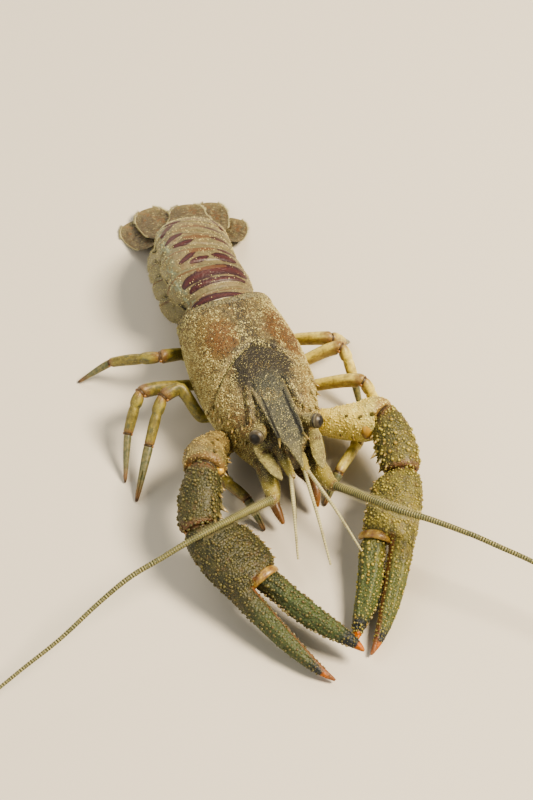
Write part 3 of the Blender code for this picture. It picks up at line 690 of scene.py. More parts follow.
# %% Roll the carapace
def carapace_shape(u, v):
    """The whole carapace: its skin, its relief, its rolled rim and its rounded front end."""
    turn = (u * 2 - 0.5) * np.pi
    middle_y = np.interp(v, (0, 0.05, 0.93, 1), (-38.5, -38.5, 0, 0))
    grow = np.interp(v, (0.93, 0.945, 0.96, 0.98, 1), (0, -0.12, -0.45, -0.9, -0.9))
    place = carapace_skin(turn, middle_y, grow)
    step = 1e-3
    further = np.minimum(middle_y + step, 0)
    a = carapace_skin(turn + step, middle_y, grow) - place
    b = carapace_skin(turn, further, grow) - carapace_skin(turn, further - step, grow)
    edge = np.clip((v - 0.05) / 0.05, 0, 1) * np.clip((0.95 - v) / 0.02, 0, 1)
    place = place + unit(np.cross(b, a)) * (carapace_relief(place, middle_y, np.sin(turn)) * edge)[:, None]
    nose = np.clip(v / 0.05, 0, 1)[:, None]
    heart = np.array((0, -39.3, 11))
    from_heart = place - heart
    closed = heart + from_heart * np.sqrt(nose * (2 - nose)) * (1, 0, 1) + from_heart * (0, 1, 0) * nose ** 2
    place = np.where((v < 0.05)[:, None], closed, place)
    place[:, 1] = np.where(v > 0.985, np.minimum(place[:, 1], -0.6), place[:, 1])
    return place


carapace = seal(wrapped("carapace_shell", 220, 190, carapace_shape))
print("carapace", len(carapace.data.polygons), "faces")

# %% [markdown]
# ## Beak, thorns and eyes
# The beak is a short loft with raised edges and a hollow top. Thorns are copies
# of one moulded thorn. Each eye is a dark ball on a short stalk.
# %% Beak
BEAK = np.array((  # y, middle, half width, top, under, hollow
    (-23, 0, 3.7, 20.6, 17.5, -0.2), (-26, 0, 3.7, 20.8, 17.5, 0.05), (-28.5, 0.1, 3.6, 20.85, 17.6, 0.3),
    (-31, 0.2, 3.4, 20.75, 17.6, 0.5), (-34, 0.35, 3.2, 20.6, 17.8, 0.6),
    (-37.5, 0.4, 3.05, 20.45, 18.1, 0.6), (-40, 0.35, 2.75, 20.3, 18.4, 0.55),
    (-41.3, 0.3, 1.6, 20.05, 18.6, 0.4), (-43.6, 0.2, 0.95, 19.8, 18.7, 0.2),
    (-46, 0.1, 0.45, 19.6, 18.9, 0.05), (-47.3, 0, 0.12, 19.5, 19.1, 0)))
rings = [(middle + x * wide, y, z) for y, middle, wide, top, under, hollow in BEAK for x, z in (
    (-1, top - 0.6), (-0.99, top - 0.12), (-0.9, top + 0.06), (-0.76, top - hollow * 0.75),
    (-0.4, top - hollow), (0, top - hollow * 0.8), (0.4, top - hollow), (0.76, top - hollow * 0.75),
    (0.9, top + 0.06), (0.99, top - 0.12), (1, top - 0.6), (0.7, under), (0, under - 0.15), (-0.7, under))]
sides, last = 14, 14 * (len(BEAK) - 1)
faces = [(i + j, i + (j + 1) % sides, i + (j + 1) % sides + sides, i + j + sides)
         for i in range(0, last, sides) for j in range(sides)]
faces += [tuple(range(sides))[::-1], tuple(range(last, last + sides))]
beak = built("beak", np.array(rings) - MIDDLE, faces)
remember(beak, "rest", rings)
rounded(seal(beak), 2)

# %% Thorns of the head
on_head = surface_of(carapace)


def on_carapace(x, y, angle):
    """The nearest place on the carapace to a height angle on one of its sides."""
    c, s = math.cos(math.radians(angle)), math.sin(math.radians(angle))
    wide, top, centre = (read_smooth(PROFILE, np.array([y]), k)[0] for k in (1, 2, 3))
    near = np.array((x * c * wide, y, centre + s * (top - centre))) - MIDDLE
    found = on_head.find_nearest(Vector(near) * MM)
    return np.array(found[0]) / MM, np.array(found[1])


CHEEK_THORNS = (  # y, height angle, length
    (-33.4, 24, 1.6), (-31.6, 38, 1.5), (-30.2, 24, 1.8), (-27.8, 34, 1.6), (-26.6, 20, 1.7),
    (-29.4, 12, 1.4), (-28.6, 26, 1.3), (-23.4, 18, 2.5), (-24.4, 30, 1.3), (-22.6, 6, 1.5),
    (-31.8, 14, 1.3))
places, outs, sizes = [], [], []
for hand in (-1, 1):
    for y, angle, length in CHEEK_THORNS:
        at, out = on_carapace(hand, y, angle)
        places.append(at)
        outs.append(out + (0, -1.3, 0))
        sizes.append((0.9, 0.9, length))
    for at, aside, rise, length in (((hand * 5.65, -31.7, 18.7), 0.2, 0.25, 2), (
            (hand * 2.6 + 0.3, -39.9, 20.05), 0.28, 0.1, 2.5), ((hand * 7.6, -34.6, 15.2), 0.5, 0.1, 1.6)):
        places.append(at - MIDDLE)
        outs.append((hand * aside, -1, rise))
        sizes.append((0.85, 0.85, length))
head_thorns = spread("head_thorns", THORN, places, outs, sizes)

# %% Eyes
HANDS = {"right": -1, "left": 1}
STALK = ((0, 1.2), (0.4, 1.4), (0.6, 1.55), (0.7, 1.62), (0.76, 1.35))
GLOBE = ((0.62, 1.1), (0.7, 1.42), (0.8, 1.66), (0.88, 1.6), (0.95, 1.2), (1, 0.55))
stalks, globes = {}, {}
for side_name, hand in HANDS.items():
    name = "eye_" + side_name
    root, ball = np.array((hand * 2.6, -33, 16.8)), np.array((hand * 6.05 + 0.35, -36.5, 18.95))
    path = way((root, ball, ball + unit(ball - root) * 1.8))
    stalks[name] = limb(name + "_stalk", STALK, path)
    globes[name] = limb(name + "_globe", GLOBE, path, 16)

# %% [markdown]
# ## The abdomen
# Six rings slide under one another like roof tiles. Each is an arch with a lobe
# hanging at either side, so each is a grid rolled over an arch and then given
# its thickness.
# %% Abdomen sizes
JOINTS = np.array((  # x, y, top, half width, pitch, yaw, roll
    (0, -0.4, 18.4, 8.4, -3, 0, 0), (0, 3.9, 18.9, 8.5, -3, 0, 3),
    (-0.8, 10.2, 20.4, 10.4, 0, 0, 10), (-0.8, 16.2, 20.2, 10.1, 7, 2, 14),
    (-0.2, 22.2, 18.9, 9.8, 17, 5, 13), (0.9, 28.2, 16, 9.1, 30, 9, 9),
    (2.7, 35, 10.8, 8.1, 38, 11, 4)))


def tail_frame(k, share):
    """Middle, half width, and the three directions of ring k at a share of its length."""
    row = JOINTS[k] + (JOINTS[k + 1] - JOINTS[k]) * np.asarray(share)[..., None]
    pitch, yaw, roll = (np.radians(row[..., j]) for j in (4, 5, 6))
    ahead = np.stack([np.sin(yaw) * np.cos(pitch), np.cos(yaw) * np.cos(pitch), -np.sin(pitch)], -1)
    side = unit(np.cross(ahead, (0, 0, 1)))
    up = np.cross(side, ahead)
    lean_c, lean_s = np.cos(roll)[..., None], np.sin(roll)[..., None]
    return row[..., :3], row[..., 3], ahead, side * lean_c - up * lean_s, up * lean_c + side * lean_s


SLIM_RIGHT = (0.5, 2.4, 2.9, 2.6, 1.6, 0.4)
RING_WIDE, RING_LONG, RING_MARK = 19, 6.6, 20


def depth_of(k):
    """How deep ring k hangs at its sides."""
    return 8.2 - 0.55 * k


def ring_shape(k):
    """The outer face of one ring: a tucked front, a groove, a raised band and two lobes."""
    def shape(u, v):
        share = v * 1.1
        top, wide, ahead, side, up = tail_frame(k, np.minimum(share, 1))
        top = top + ahead * (np.maximum(share - 1, 0) * 6)[:, None]
        step = np.interp(share, (0, 0.1, 0.26, 0.31, 0.36, 0.9, 1, 1.1),
                         (0.9, 0.45, 0.3, 0.42, 0, -0.1, 0, 0.12))
        drop = depth_of(k)
        flap = np.interp(share, (0, 0.1, 0.26, 0.34, 0.6, 0.86, 1, 1.1), (1.2, 2, 3.2, 3.9, 4.5, 3.4, 2, 1.2))
        flap = flap * (0.35 if k == 0 else 1)
        a = u * 2 - 1
        arch_share = np.clip(np.abs(a) / 0.8, 0, 1)
        turn = np.radians(90 - 98 * arch_share)
        c, s = np.cos(turn), np.sin(turn)
        x = c ** 0.9 * (wide - step)
        y = (drop - step) * (np.sign(s) * np.abs(s) ** 0.9 - 1) - step
        lobe = np.clip((np.abs(a) - 0.8) / 0.2, 0, 1)
        y = y - lobe * flap
        x = x + 0.5 * np.sin(lobe * np.pi) - 0.3 * lobe
        x = x - 0.6 * hump(np.abs(a) - 0.77, 0.035)
        x = x - np.where(a < 0, SLIM_RIGHT[k], 0) * arch_share ** 2
        x = x + np.where(a < 0, 1.7, 0.3) * lobe * (k > 0)
        low_side = np.clip((arch_share - 0.75) / 0.25, 0, 1) * (k > 0)
        flare = np.interp(share, (0, 0.3, 0.45, 0.8, 0.95, 1.1), (-0.7, -0.6, -0.1, 0.35, 0.45, 0.1))
        x = x + low_side * flare
        lean = lobe * (0.9 if k else 0.2)
        return top + side * (np.sign(a) * x)[:, None] + up * y[:, None] + ahead * lean[:, None]
    return shape


def ring_rest(k):
    """Across the ring in millimetres from the middle, along it, and its number."""
    return lambda u, v: np.stack(
        [(u * 2 - 1) * RING_WIDE, v * RING_LONG, np.full_like(u, k * RING_MARK)], -1)


tail_rings = []
for k in range(6):
    ring = wrapped("tail_ring_" + str(k + 1), 110, 26, ring_shape(k), ring_rest(k))
    finish_with(ring, "SOLIDIFY", thickness=0.45 * MM, offset=-1, use_rim=True)
    take(ring)
    bpy.ops.object.shade_smooth()
    tail_rings.append(ring)


# %% Belly and swimmerets
def belly_shape(u, v):
    """A rippled tube under the rings."""
    k = np.minimum((v * 6).astype(int), 5)
    places = np.empty((len(u), 3))
    for n in range(6):
        here = k == n
        share, turn = v[here] * 6 - n, u[here] * 2 * np.pi
        top, wide, ahead, side, up = tail_frame(n, share)
        drop = depth_of(n)
        x = np.cos(turn) * (wide - 2.2)
        y = -drop * 0.72 + np.sin(turn) * (drop * 0.36 + 0.35 * np.cos(share * 2 * np.pi))
        places[here] = top + side * x[:, None] + up * y[:, None]
    return places


belly = seal(wrapped("belly", 40, 72, belly_shape))
SWIMMERET = ((0, 0.7, 0.5), (0.4, 0.75, 0.45), (0.5, 0.6, 0.4), (0.7, 0.95, 0.35), (0.9, 0.75, 0.3),
             (1, 0.3, 0.2))
swimmerets = []
for k in range(1, 5):
    top, wide, ahead, side, up = (row[0] for row in tail_frame(k, np.array([0.45])))
    for side_name, hand in HANDS.items():
        root = top - up * (depth_of(k) + 0.2) + side * hand * 5.4
        knee = root - up * 2.4 - side * hand * 0.8 + (0, 0.3, 0)
        for branch, (inward, backward) in enumerate(((1.8, 1.2), (0.4, 2.2))):
            tip = knee - up * 2.3 - side * hand * inward + (0, backward, 0)
            name = "swimmeret_%d_%s_%d" % (k + 1, side_name, branch)
            swimmerets.append(limb(name, SWIMMERET, way((root, knee, tip), up=ahead), 8))

# %% [markdown]
# ## The tail fan
# A middle plate and two paddles on either side. Each is a flattened limb with a
# raised rib, a seam across it at about two thirds, and a fringe of bristles.
# %% Plates of the fan
def plate_shape(width, rib, seam):
    """Thin edges, a rib along the middle and a stepped seam across."""
    def shape(points, long):
        share = points[:, 2] / long
        edge = np.clip(np.abs(points[:, 0]) / width, 0, 1)
        above = np.clip(points[:, 1] / 0.2, -1, 1)
        raised = rib * hump(points[:, 0], 0.5) * np.clip(1.1 - share, 0, 1)
        points[:, 1] += above * (raised - 0.12 * hump(edge - 0.62, 0.12))
        curve = share - seam - 0.1 * (1 - edge**2)
        points[:, 1] -= above * 0.2 * hump(curve, 0.016)
        points[:, 1] += above * 0.1 * hump(curve + 0.035, 0.03)
        points[:, 1] -= above * 0.25 * hump(edge - 1, 0.15)
        return points
    return shape


PLATE = ((0, 0.9, 1.9), (0.12, 1, 1.5), (0.35, 1.02, 1), (0.56, 0.98, 0.9), (0.62, 0.9, 0.85),
         (0.68, 0.85, 0.8), (0.85, 0.82, 0.7), (0.95, 0.66, 0.55), (1, 0.36, 0.4))
PADDLE = ((0, 0.34, 1.4), (0.12, 0.6, 1.25), (0.28, 0.94, 0.95), (0.45, 1.03, 0.8), (0.6, 1.02, 0.75),
          (0.72, 1.02, 0.65), (0.84, 0.93, 0.6), (0.94, 0.72, 0.5), (1, 0.4, 0.4))
PADDLES = {
    "paddle_inner_right": (-4.1, 4.3, (-4.2, 49.9, 1.75), 4.3, 2.2),
    "paddle_outer_right": (-6.4, 5.1, (-9, 48.2, 0.35), 4.3, 3.1),
    "paddle_inner_left": (4.1, 4.3, (11, 47, 1.75), 4.2, 2.2),
    "paddle_outer_left": (6.6, 5.1, (15.3, 41.3, 0.35), 3.9, 2.8),
}


def fan_path(base, tip, sag):
    """A run that drops quickly at first and then lies nearly flat."""
    shares = np.linspace(0, 1, 7)
    run = base + (tip - base) * shares[:, None]
    run[:, 2] = tip[2] + (base[2] - tip[2]) * (1 - shares) ** sag
    return way(run)


top, wide, ahead, side, up = (row[0] for row in tail_frame(5, np.array([1])))
base = top + ahead * 0.15 - up * 2
tip = base + unit(ahead * (1, 1, 0)) * 13.4
tip[2] = 2.9
fan = {"telson": fan_path(base, tip, 1.8)}
fan_tables = {"telson": [(s, w * 5, t * 0.5) for s, w, t in PLATE]}
fan_plates = {"telson": limb("tail_plate", fan_tables["telson"], fan["telson"], 20, 3,
                             plate_shape(5, 0.12, 0.56))}
for name, (aside, deep, tip, width, sag) in PADDLES.items():
    fan[name] = fan_path(top + side * aside - up * deep + ahead * 0.3, np.array(tip), sag)
    fan_tables[name] = [(s, w * width, t * 0.45) for s, w, t in PADDLE]
    seam = 0.62 if "outer" in name else 2
    fan_plates[name] = limb(name + "_plate", fan_tables[name], fan[name], 20, 3,
                            plate_shape(width, 0.22, seam))
print("fan", sum(len(p.data.polygons) for p in fan_plates.values()), "faces")

# %% [markdown]
# ## Walking legs
# Eight legs, each with a long thigh, a shin and a toe. Knees and ankles have a
# knob on either side, on which the real joint turns, and a soft skin between.
# The first two pairs end in small pincers.
# %% Leg sizes
WALKING_LEGS = {
    "leg_2_right": (((-6.5, -21.5, 5.8), (-9, -24.4, 3.9), (-12.6, -33.6, 4.8)), (-9.4, -40.6, 4.4),
                    (-7.6, -46.4, -0.2)),
    "leg_3_right": (((-8, -19.6, 6.6), (-12.4, -19.4, 7.6), (-15.3, -14.2, 12.3), (-19.2, -15.1, 12)),
                    (-24.7, -21.9, 6), (-30.4, -30.8, -0.2)),
    "leg_4_right": (((-8, -10.4, 6.6), (-12.4, -10.2, 7.6), (-23.2, -12.1, 11.5)), (-27.9, -17.4, 6),
                    (-31.2, -25.3, -0.2)),
    "leg_5_right": (((-7.5, -4, 6.4), (-11, -1.4, 7.6), (-16.2, -2.6, 10)), (-26, 3.1, 5.5),
                    (-33.3, 4.5, -0.2)),
    "leg_2_left": (((6.5, -21.5, 5.8), (9.2, -24.4, 3.9), (18.4, -32.4, 4.8)), (10.6, -40.2, 4.2),
                   (6, -44.5, -0.2)),
    "leg_3_left": (((8, -18.4, 6.6), (12.2, -19.4, 8.2), (21.5, -25.2, 12.6)), (24, -29.4, 6),
                   (26.2, -33, -0.2)),
    "leg_4_left": (((8, -12.2, 6.6), (12.4, -12.6, 8.4), (20.6, -14.6, 12.2)), (21.8, -20.6, 6.4),
                   (22, -25.2, -0.2)),
    "leg_5_left": (((7.5, -5.4, 6.4), (11.6, -5.6, 8.2), (19.7, -10.9, 11.6)), (23.6, -8, 6), (27, -4, -0.2)),
}
THIGH = ((0, 1.25, 1.3), (0.12, 1.3, 1.35), (0.2, 1.15, 1.2), (0.25, 1.25, 1.35), (0.5, 1.25, 1.6, 1.55),
         (0.75, 1.3, 1.75, 1.65), (0.9, 1.4, 1.8, 1.7), (0.96, 1.5, 1.8, 1.7), (1, 1.35, 1.55, 1.4))
SHIN = ((0, 1, 1.2), (0.07, 1.3, 1.5, 1.45), (0.25, 1.4, 1.5, 1.4), (0.31, 1.3, 1.4, 1.3),
        (0.35, 1, 1.2, 1.15), (0.41, 1.2, 1.4, 1.35), (0.7, 1.2, 1.35, 1.25), (0.92, 1.1, 1.15, 1.1),
        (0.97, 1.12, 1.2, 1.1), (1, 0.9, 0.95, 0.9))
TOE = ((0, 0.8, 0.85), (0.08, 0.85, 0.9), (0.4, 0.7, 0.75), (0.75, 0.5, 0.52, 0.5), (0.93, 0.38, 0.4, 0.38),
       (1, 0.2, 0.22, 0.2))


def trimmed(points, start=None, end=None, gap=0.15, ease=0.35):
    """A path that stops just short of its neighbours at both ends."""
    points = [np.array(p, float) for p in points]
    start = unit(points[1] - points[0]) if start is None else unit(start)
    end = unit(points[-1] - points[-2]) if end is None else unit(end)
    points[0] = points[0] + start * gap
    points[-1] = points[-1] - end * gap
    return way(points, start, end, ease=ease)


def meeting(before, joint, after):
    """The direction in which two lengths of a limb meet."""
    before, joint, after = (np.array(p, float) for p in (before, joint, after))
    return unit(unit(joint - before) + unit(after - joint))


legs, knobs, skins = {}, [], []


def knuckle(joint, ahead, size, bulge=1):
    """Note where a joint has its two knobs and its soft skin."""
    joint, ahead = np.array(joint, float), unit(ahead)
    side = unit(np.cross(ahead, (0, 0, 1)))
    for hand in (-1, 1):
        knobs.append((joint + side * hand * size * 0.88 - MIDDLE, side * hand, size * 0.3 * bulge))
    skins.append((joint - MIDDLE, ahead, size))


def pincer(points, long):
    """Part the toes of the first two pairs into two fingers."""
    cut = np.clip((points[:, 2] / long - 0.42) / 0.06, 0, 1)
    points[:, 0] *= 1.25
    depth = 0.62 * hump(points[:, 0], 0.13) * cut
    points[:, 1] -= depth * np.sign(points[:, 1]) * np.minimum(np.abs(points[:, 1]), 1)
    return points


for name, (hip_way, ankle, foot) in WALKING_LEGS.items():
    knee = hip_way[-1]
    sole = np.array(foot) + (0, 0, 0.42)
    at_knee, at_ankle = meeting(hip_way[-2], knee, ankle), meeting(knee, ankle, foot)
    toe = (16, 3, pincer) if name[4] in "23" else (16, 2)
    legs[name + "_thigh"] = limb(name + "_thigh_shell", THIGH, trimmed(hip_way, end=at_knee))
    legs[name + "_shin"] = limb(name + "_shin_shell", SHIN, trimmed((knee, ankle), at_knee, at_ankle))
    legs[name + "_toe"] = limb(name + "_toe_shell", TOE, trimmed((ankle, sole), at_ankle, gap=0.1), *toe)
    knuckle(knee, at_knee, 1.3)
    knuckle(ankle, at_ankle, 0.95)

# %% [markdown]
# ## Claws
# Each claw has an arm, a wrist, a palm that runs on into the fixed finger, and a
# moving finger hinged beside it. All stand full of pale knobs, in rows along the
# fingers, so the knobs are sown on the surface after the limbs are bent.
# %% Claw sizes
CLAWS = {
    "claw_right": ((-7, -27.2, 8), (-17.2, -37.5, 14.2), (-22.1, -48.6, 10.5), (0.5, -81.7, 4.5),
                   (-6.4, -84.2, 1)),
    "claw_left": ((7, -27.2, 8), (22, -35.2, 12.4), (21.3, -48, 9.5), (0.2, -77.4, 1.5), (2, -81.2, 1)),
}
ARM = ((0, 2.3, 2.5), (0.12, 2.5, 2.8), (0.2, 2.35, 2.7), (0.26, 2.6, 3, 3.1), (0.45, 3.3, 3.7, 3.8),
       (0.72, 4.2, 4.4, 4.5), (0.9, 4.7, 4.5, 4.6), (1, 4.3, 4.1, 4.2))
WRIST = ((0, 2.7, 3, 2.8), (0.08, 3.4, 3.4, 3.1), (0.22, 4, 3.8, 3.4), (0.5, 4.35, 3.95, 3.4),
         (0.8, 4.3, 3.8, 3.3), (0.93, 4, 3.5, 3.1), (1, 3.5, 3.2, 3))
PALM = ((0, 3.1, 2.8, 2.5, 0), (0.035, 4.3, 3.2, 2.9, -0.2), (0.08, 5.1, 3.6, 3.2, -0.45),
        (0.16, 5.5, 3.85, 3.4, -0.6), (0.25, 5.65, 3.9, 3.5, -0.65), (0.33, 5.5, 3.8, 3.4, -0.6),
        (0.365, 5.3, 3.7, 3.3, -0.45), (0.381, 4.9, 3.5, 3.1, -0.15), (0.388, 2.75, 2.9, 2.6, 2.05),
        (0.40, 2.5, 2.65, 2.4, 2.25), (0.47, 2.35, 2.45, 2.2, 2.35), (0.6, 2.15, 2.15, 1.9, 2.3),
        (0.7, 1.95, 1.8, 1.6, 2.1), (0.8, 1.6, 1.5, 1.35, 1.75), (0.9, 1.1, 1.1, 0.95, 1.15),
        (0.96, 0.7, 0.7, 0.65, 0.55), (1, 0.28, 0.3, 0.3, 0))
FINGER = ((0, 2.35, 2.6, 2.3, 0), (0.03, 2.5, 2.7, 2.4, -0.1), (0.12, 2.5, 2.6, 2.3, -0.3),
          (0.25, 2.45, 2.4, 2.15, 0.1), (0.4, 2.55, 2.3, 2.1, 0.6), (0.55, 2.3, 2.05, 1.85, 0.6),
          (0.7, 2, 1.75, 1.55, 0.45), (0.82, 1.55, 1.4, 1.25, 0.2), (0.92, 1, 1, 0.9, 0.05),
          (0.97, 0.62, 0.62, 0.58, 0.15), (1, 0.26, 0.28, 0.26, 0.25))


def fluted(points, long):
    """Lengthwise ridges on a finger."""
    share = np.clip(points[:, 2] / long, 0, 1)
    turn = np.arctan2(points[:, 1], points[:, 0])
    swell = 1 + 0.05 * np.cos(turn * 6) * np.clip(share * 6, 0, 1) * np.clip((1 - share) * 6, 0, 1)
    points[:, :2] *= swell[:, None]
    return points


def palm_form(points, long):
    """Ridges on the fixed finger only, and on the right claw a bulge on the inner side of the palm before the
    hinge.
    """
    share = np.clip(points[:, 2] / long, 0, 1)
    on_finger = np.clip((share - 0.42) / 0.08, 0, 1) * np.clip((1 - share) * 8, 0, 1)
    centre = np.interp(share, *shift_of(PALM, outward))
    x, y = points[:, 0] - centre, points[:, 1]
    swell = 1 + 0.05 * np.cos(np.arctan2(y, x) * 6) * on_finger
    swollen = np.interp(share, (0, 0.05, 0.14, 0.32, 0.38, 0.4), (0, 0.5, 1, 1, 0.75, 0))
    points[:, 0] = x * swell + centre - outward * inner_bulge * np.clip(-x * outward / 4, 0, 1) * swollen
    points[:, 1] = y * swell
    return points


def shift_of(table, hand):
    """The shares of a table of stations, and how far each station is shifted aside."""
    return [row[0] for row in table], [full(row)[4] * hand for row in table]


claws, claw_ways, claw_hands = {}, {}, {}
for name, joints in CLAWS.items():
    shoulder, elbow, wrist, free_tip, fixed_tip = (np.array(p) for p in joints)
    hand = HANDS[name.split("_")[1]]
    reach = fixed_tip - wrist
    forward = unit(reach)
    at_elbow, at_wrist = meeting(shoulder, elbow, wrist), meeting(elbow, wrist, fixed_tip)
    sag = np.array((-1.5, 1.1, 0.3) if hand < 0 else (0, -0.8, -0.5))
    arm = elbow - shoulder
    arm_way = (shoulder, shoulder + arm * 0.4 + sag, shoulder + arm * 0.75 + sag, elbow)
    outer = unit(np.cross(forward, (0, 0, 1)))
    outward = 1 if outer[0] * hand > 0 else -1
    inner_bulge = 2.1 if hand < 0 else 0
    hinge = wrist + reach * 0.392 - outer * outward * 3
    finger_points = (hinge, hinge + (free_tip - hinge) * 0.5, free_tip)
    for part, table, path, form in (
            ("_arm", ARM, trimmed(arm_way, end=at_elbow), None),
            ("_wrist", WRIST, trimmed((elbow, wrist), at_elbow, at_wrist), None),
            ("_palm", PALM, trimmed((wrist, wrist + reach * 0.5, fixed_tip), at_wrist, forward), palm_form),
            ("_finger", FINGER, trimmed(finger_points, forward), fluted)):
        claw_ways[name + part] = path
        stations = [(*full(row)[:4], full(row)[4] * outward) for row in table]
        claws[name + part] = limb(name + part + "_shell", stations, path, 16, 3, form)
    knuckle(elbow, at_elbow, 3.1, 0.9)
    knuckle(wrist, at_wrist, 2.7, 0.8)
    claw_hands[name] = outward

# %% Hinge lips, teeth, knobs and thorns of the claws
def rows(piece, path, turns, spans, gap, size, seed, lean, aside):
    """Knobs in rows along a limb, one row at each angle, a little uneven."""
    surface, pick = surface_of(piece), np.random.default_rng(seed)
    places, outs, sizes = [], [], []
    for turn, (first, last) in zip(turns, spans):
        for along in np.arange(first, last, gap / path["long"]):
            share = along + pick.uniform(-0.4, 0.4) * gap / path["long"]
            shift = np.interp(share, *aside)
            at, out = around(surface, path, share * path["long"], turn + pick.uniform(-8, 8), shift)
            places.append(at)
            outs.append(out + heading(path, share * path["long"], shift) * lean)
            sizes.append(size * pick.uniform(0.35, 1.2) * (1.1 - 0.5 * share))
    return places, outs, sizes


LIP = ((0, 0.35, 0.55, 0.5), (0.08, 0.6, 0.95, 0.8), (0.2, 0.5, 0.85, 0.8), (0.34, 0.6, 1.1, 0.9),
       (0.5, 0.55, 1), (0.64, 0.62, 1.15, 0.9), (0.8, 0.5, 0.9, 0.8), (0.92, 0.62, 1, 0.8), (1, 0.35, 0.5))
CLAW_THORNS = {  # share of the length, angle, length, thickness
    "_wrist": ((0.3, 10, 1.1, 1.1), (0.45, 24, 1.3, 1.1), (0.62, 8, 2.3, 1.5), (0.8, 20, 1.5, 1.2),
               (0.9, 0, 1.2, 1), (0.55, 48, 1, 0.9), (0.74, 42, 1.1, 0.9), (0.93, 34, 1, 0.9),
               (0.7, -16, 1, 0.9)),
    "_arm": ((0.95, 60, 1.6, 1.1), (0.8, 66, 1.3, 1), (0.62, 70, 0.9, 0.8), (0.93, 8, 1.3, 1),
             (0.8, 0, 1.1, 0.9), (0.66, -4, 0.9, 0.8), (0.52, 0, 0.8, 0.7), (0.9, -34, 1.3, 0.9),
             (0.7, -40, 1, 0.8))}
FINGER_ROWS = (15, 45, 75, 105, 135, 165, 200, 340, 270)
claw_knobs, claw_teeth, claw_thorns, claw_lips = [], [], [], []
for name, hand in claw_hands.items():
    finger, palm = claws[name + "_finger"], claws[name + "_palm"]
    finger_way, palm_way = claw_ways[name + "_finger"], claw_ways[name + "_palm"]
    inner = 180 if hand > 0 else 0
    bow, drift = shift_of(FINGER, hand), shift_of(PALM, hand)
    found = rows(finger, finger_way, FINGER_ROWS, [(0.06, 0.93)] * 9, 0.8, 0.4, 41, 0.3, bow)
    claw_knobs.append(spread(name + "_finger_knobs", GRAIN, *found))
    found = rows(palm, palm_way, FINGER_ROWS, [(0.43, 0.93)] * 9, 0.84, 0.38, 43, 0.3, drift)
    claw_knobs.append(spread(name + "_fixed_finger_knobs", GRAIN, *found))
    found = (rows(finger, finger_way, [180 - inner] * 2, ((0.1, 0.9), (0.35, 0.45)), 1.1, 0.42, 45, 0, bow),
             rows(palm, palm_way, [inner] * 2, ((0.45, 0.93), (0.6, 0.68)), 1.1, 0.42, 46, 0, drift))
    claw_teeth.append(spread(name + "_teeth", PEBBLE, *(a + b for a, b in zip(*found))))
    places, outs, sizes = [], [], []
    for part, table in CLAW_THORNS.items():
        surface, path = surface_of(claws[name + part]), claw_ways[name + part]
        for share, turn, long, thick in table:
            along = share * path["long"]
            at, out = around(surface, path, along, turn if inner == 0 else 180 - turn)
            places.append(at)
            outs.append(out + heading(path, along) * 0.7)
            sizes.append((thick, thick, long + 0.25))
    surface = surface_of(palm)
    for step in range(7):
        for turn in (inner - 12, inner + 14):
            at, out = around(surface, palm_way, (0.08 + 0.045 * step) * palm_way["long"], turn, -0.5 * hand)
            places.append(at)
            outs.append(out + heading(palm_way, 8, step=1) * 0.6)
            sizes.append((0.9, 0.9, 0.95))
    claw_thorns.append(spread(name + "_thorns", THORN, places, outs, sizes))
    turns = np.radians(range(5, 176, 10))
    arc = np.stack([np.cos(turns) * 3.1, np.sin(turns) * 3.25 - 0.1, np.full(len(turns), -0.1)], 1)
    lip_way = way(bend(arc, finger_way) + MIDDLE, up=heading(finger_way, 0, step=1))
    claw_lips.append(limb(name + "_hinge_lip", LIP, lip_way, 10, 2))
print("claw knobs", sum(len(p.data.polygons) for p in claw_knobs))

# %% [markdown]
# ## Feelers
# The long feelers are made of rings a little over half a millimetre wide. One ring
# is turned, repeated with an array, tapered and bent along its path.
# %% Long feelers
FEELERS = {
    "right": ((-6.6, -47.4, 11.6), (-10.6, -49.2, 13.2), (-14.4, -51.1, 15), (-20.3, -53.6, 16.8),
              (-26.8, -55.3, 16.8), (-32.7, -56.6, 15.8), (-38.6, -57.7, 14.5), (-45.3, -59.9, 12.5),
              (-54.4, -63.8, 10), (-63.1, -66.8, 8), (-72, -70.5, 6.4), (-80, -75, 5.4)),
    "left": ((6.7, -48.3, 11.6), (9.1, -52.3, 13.4), (11, -55.5, 14.7), (15.1, -61.1, 16.2),
             (19.7, -65.3, 16.6), (25.7, -70.9, 16.4), (30, -75.3, 16), (34.9, -80.1, 15.2),
             (42, -88, 13.4), (48, -96, 11.4), (53, -104.5, 9.2), (57, -113, 7))}
RING = 0.5


def ringed(name, path, thick, thin, ring=RING, power=1):
    """A thread of many rings, tapering from thick to thin, bent along its path."""
    count = int(path["long"] / ring)
    deselect()
    bpy.ops.mesh.primitive_cylinder_add(vertices=10, radius=MM, depth=ring * MM, end_fill_type="NOTHING",
                                        location=(0, 0, ring * MM / 2))
    piece = renamed(name)
    in_edit(piece, lambda: bpy.ops.mesh.subdivide(number_cuts=1))
    points = points_of(piece)
    middle = np.abs(points[:, 2] / ring - 0.5) < 0.25
    points[:, :2] *= (np.where(middle, 1.06, 0.97) / np.linalg.norm(points[:, :2], axis=1))[:, None]
    put_points(piece, points)
    finish_with(piece, "ARRAY", count=count, use_relative_offset=False, use_constant_offset=True,
                constant_offset_displace=(0, 0, ring * MM), use_merge_vertices=True, merge_threshold=0.00001)
    points = points_of(piece)
    share = points[:, 2] / (count * ring)
    remember(piece, "rest", points)
    remember(piece, "share", share)
    points[:, :2] *= (thick + (thin - thick) * np.clip(share, 0, 1) ** power)[:, None]
    points[:, 2] = share * path["long"]
    put_points(piece, bend(points, path))
    return seal(piece, 0.001)


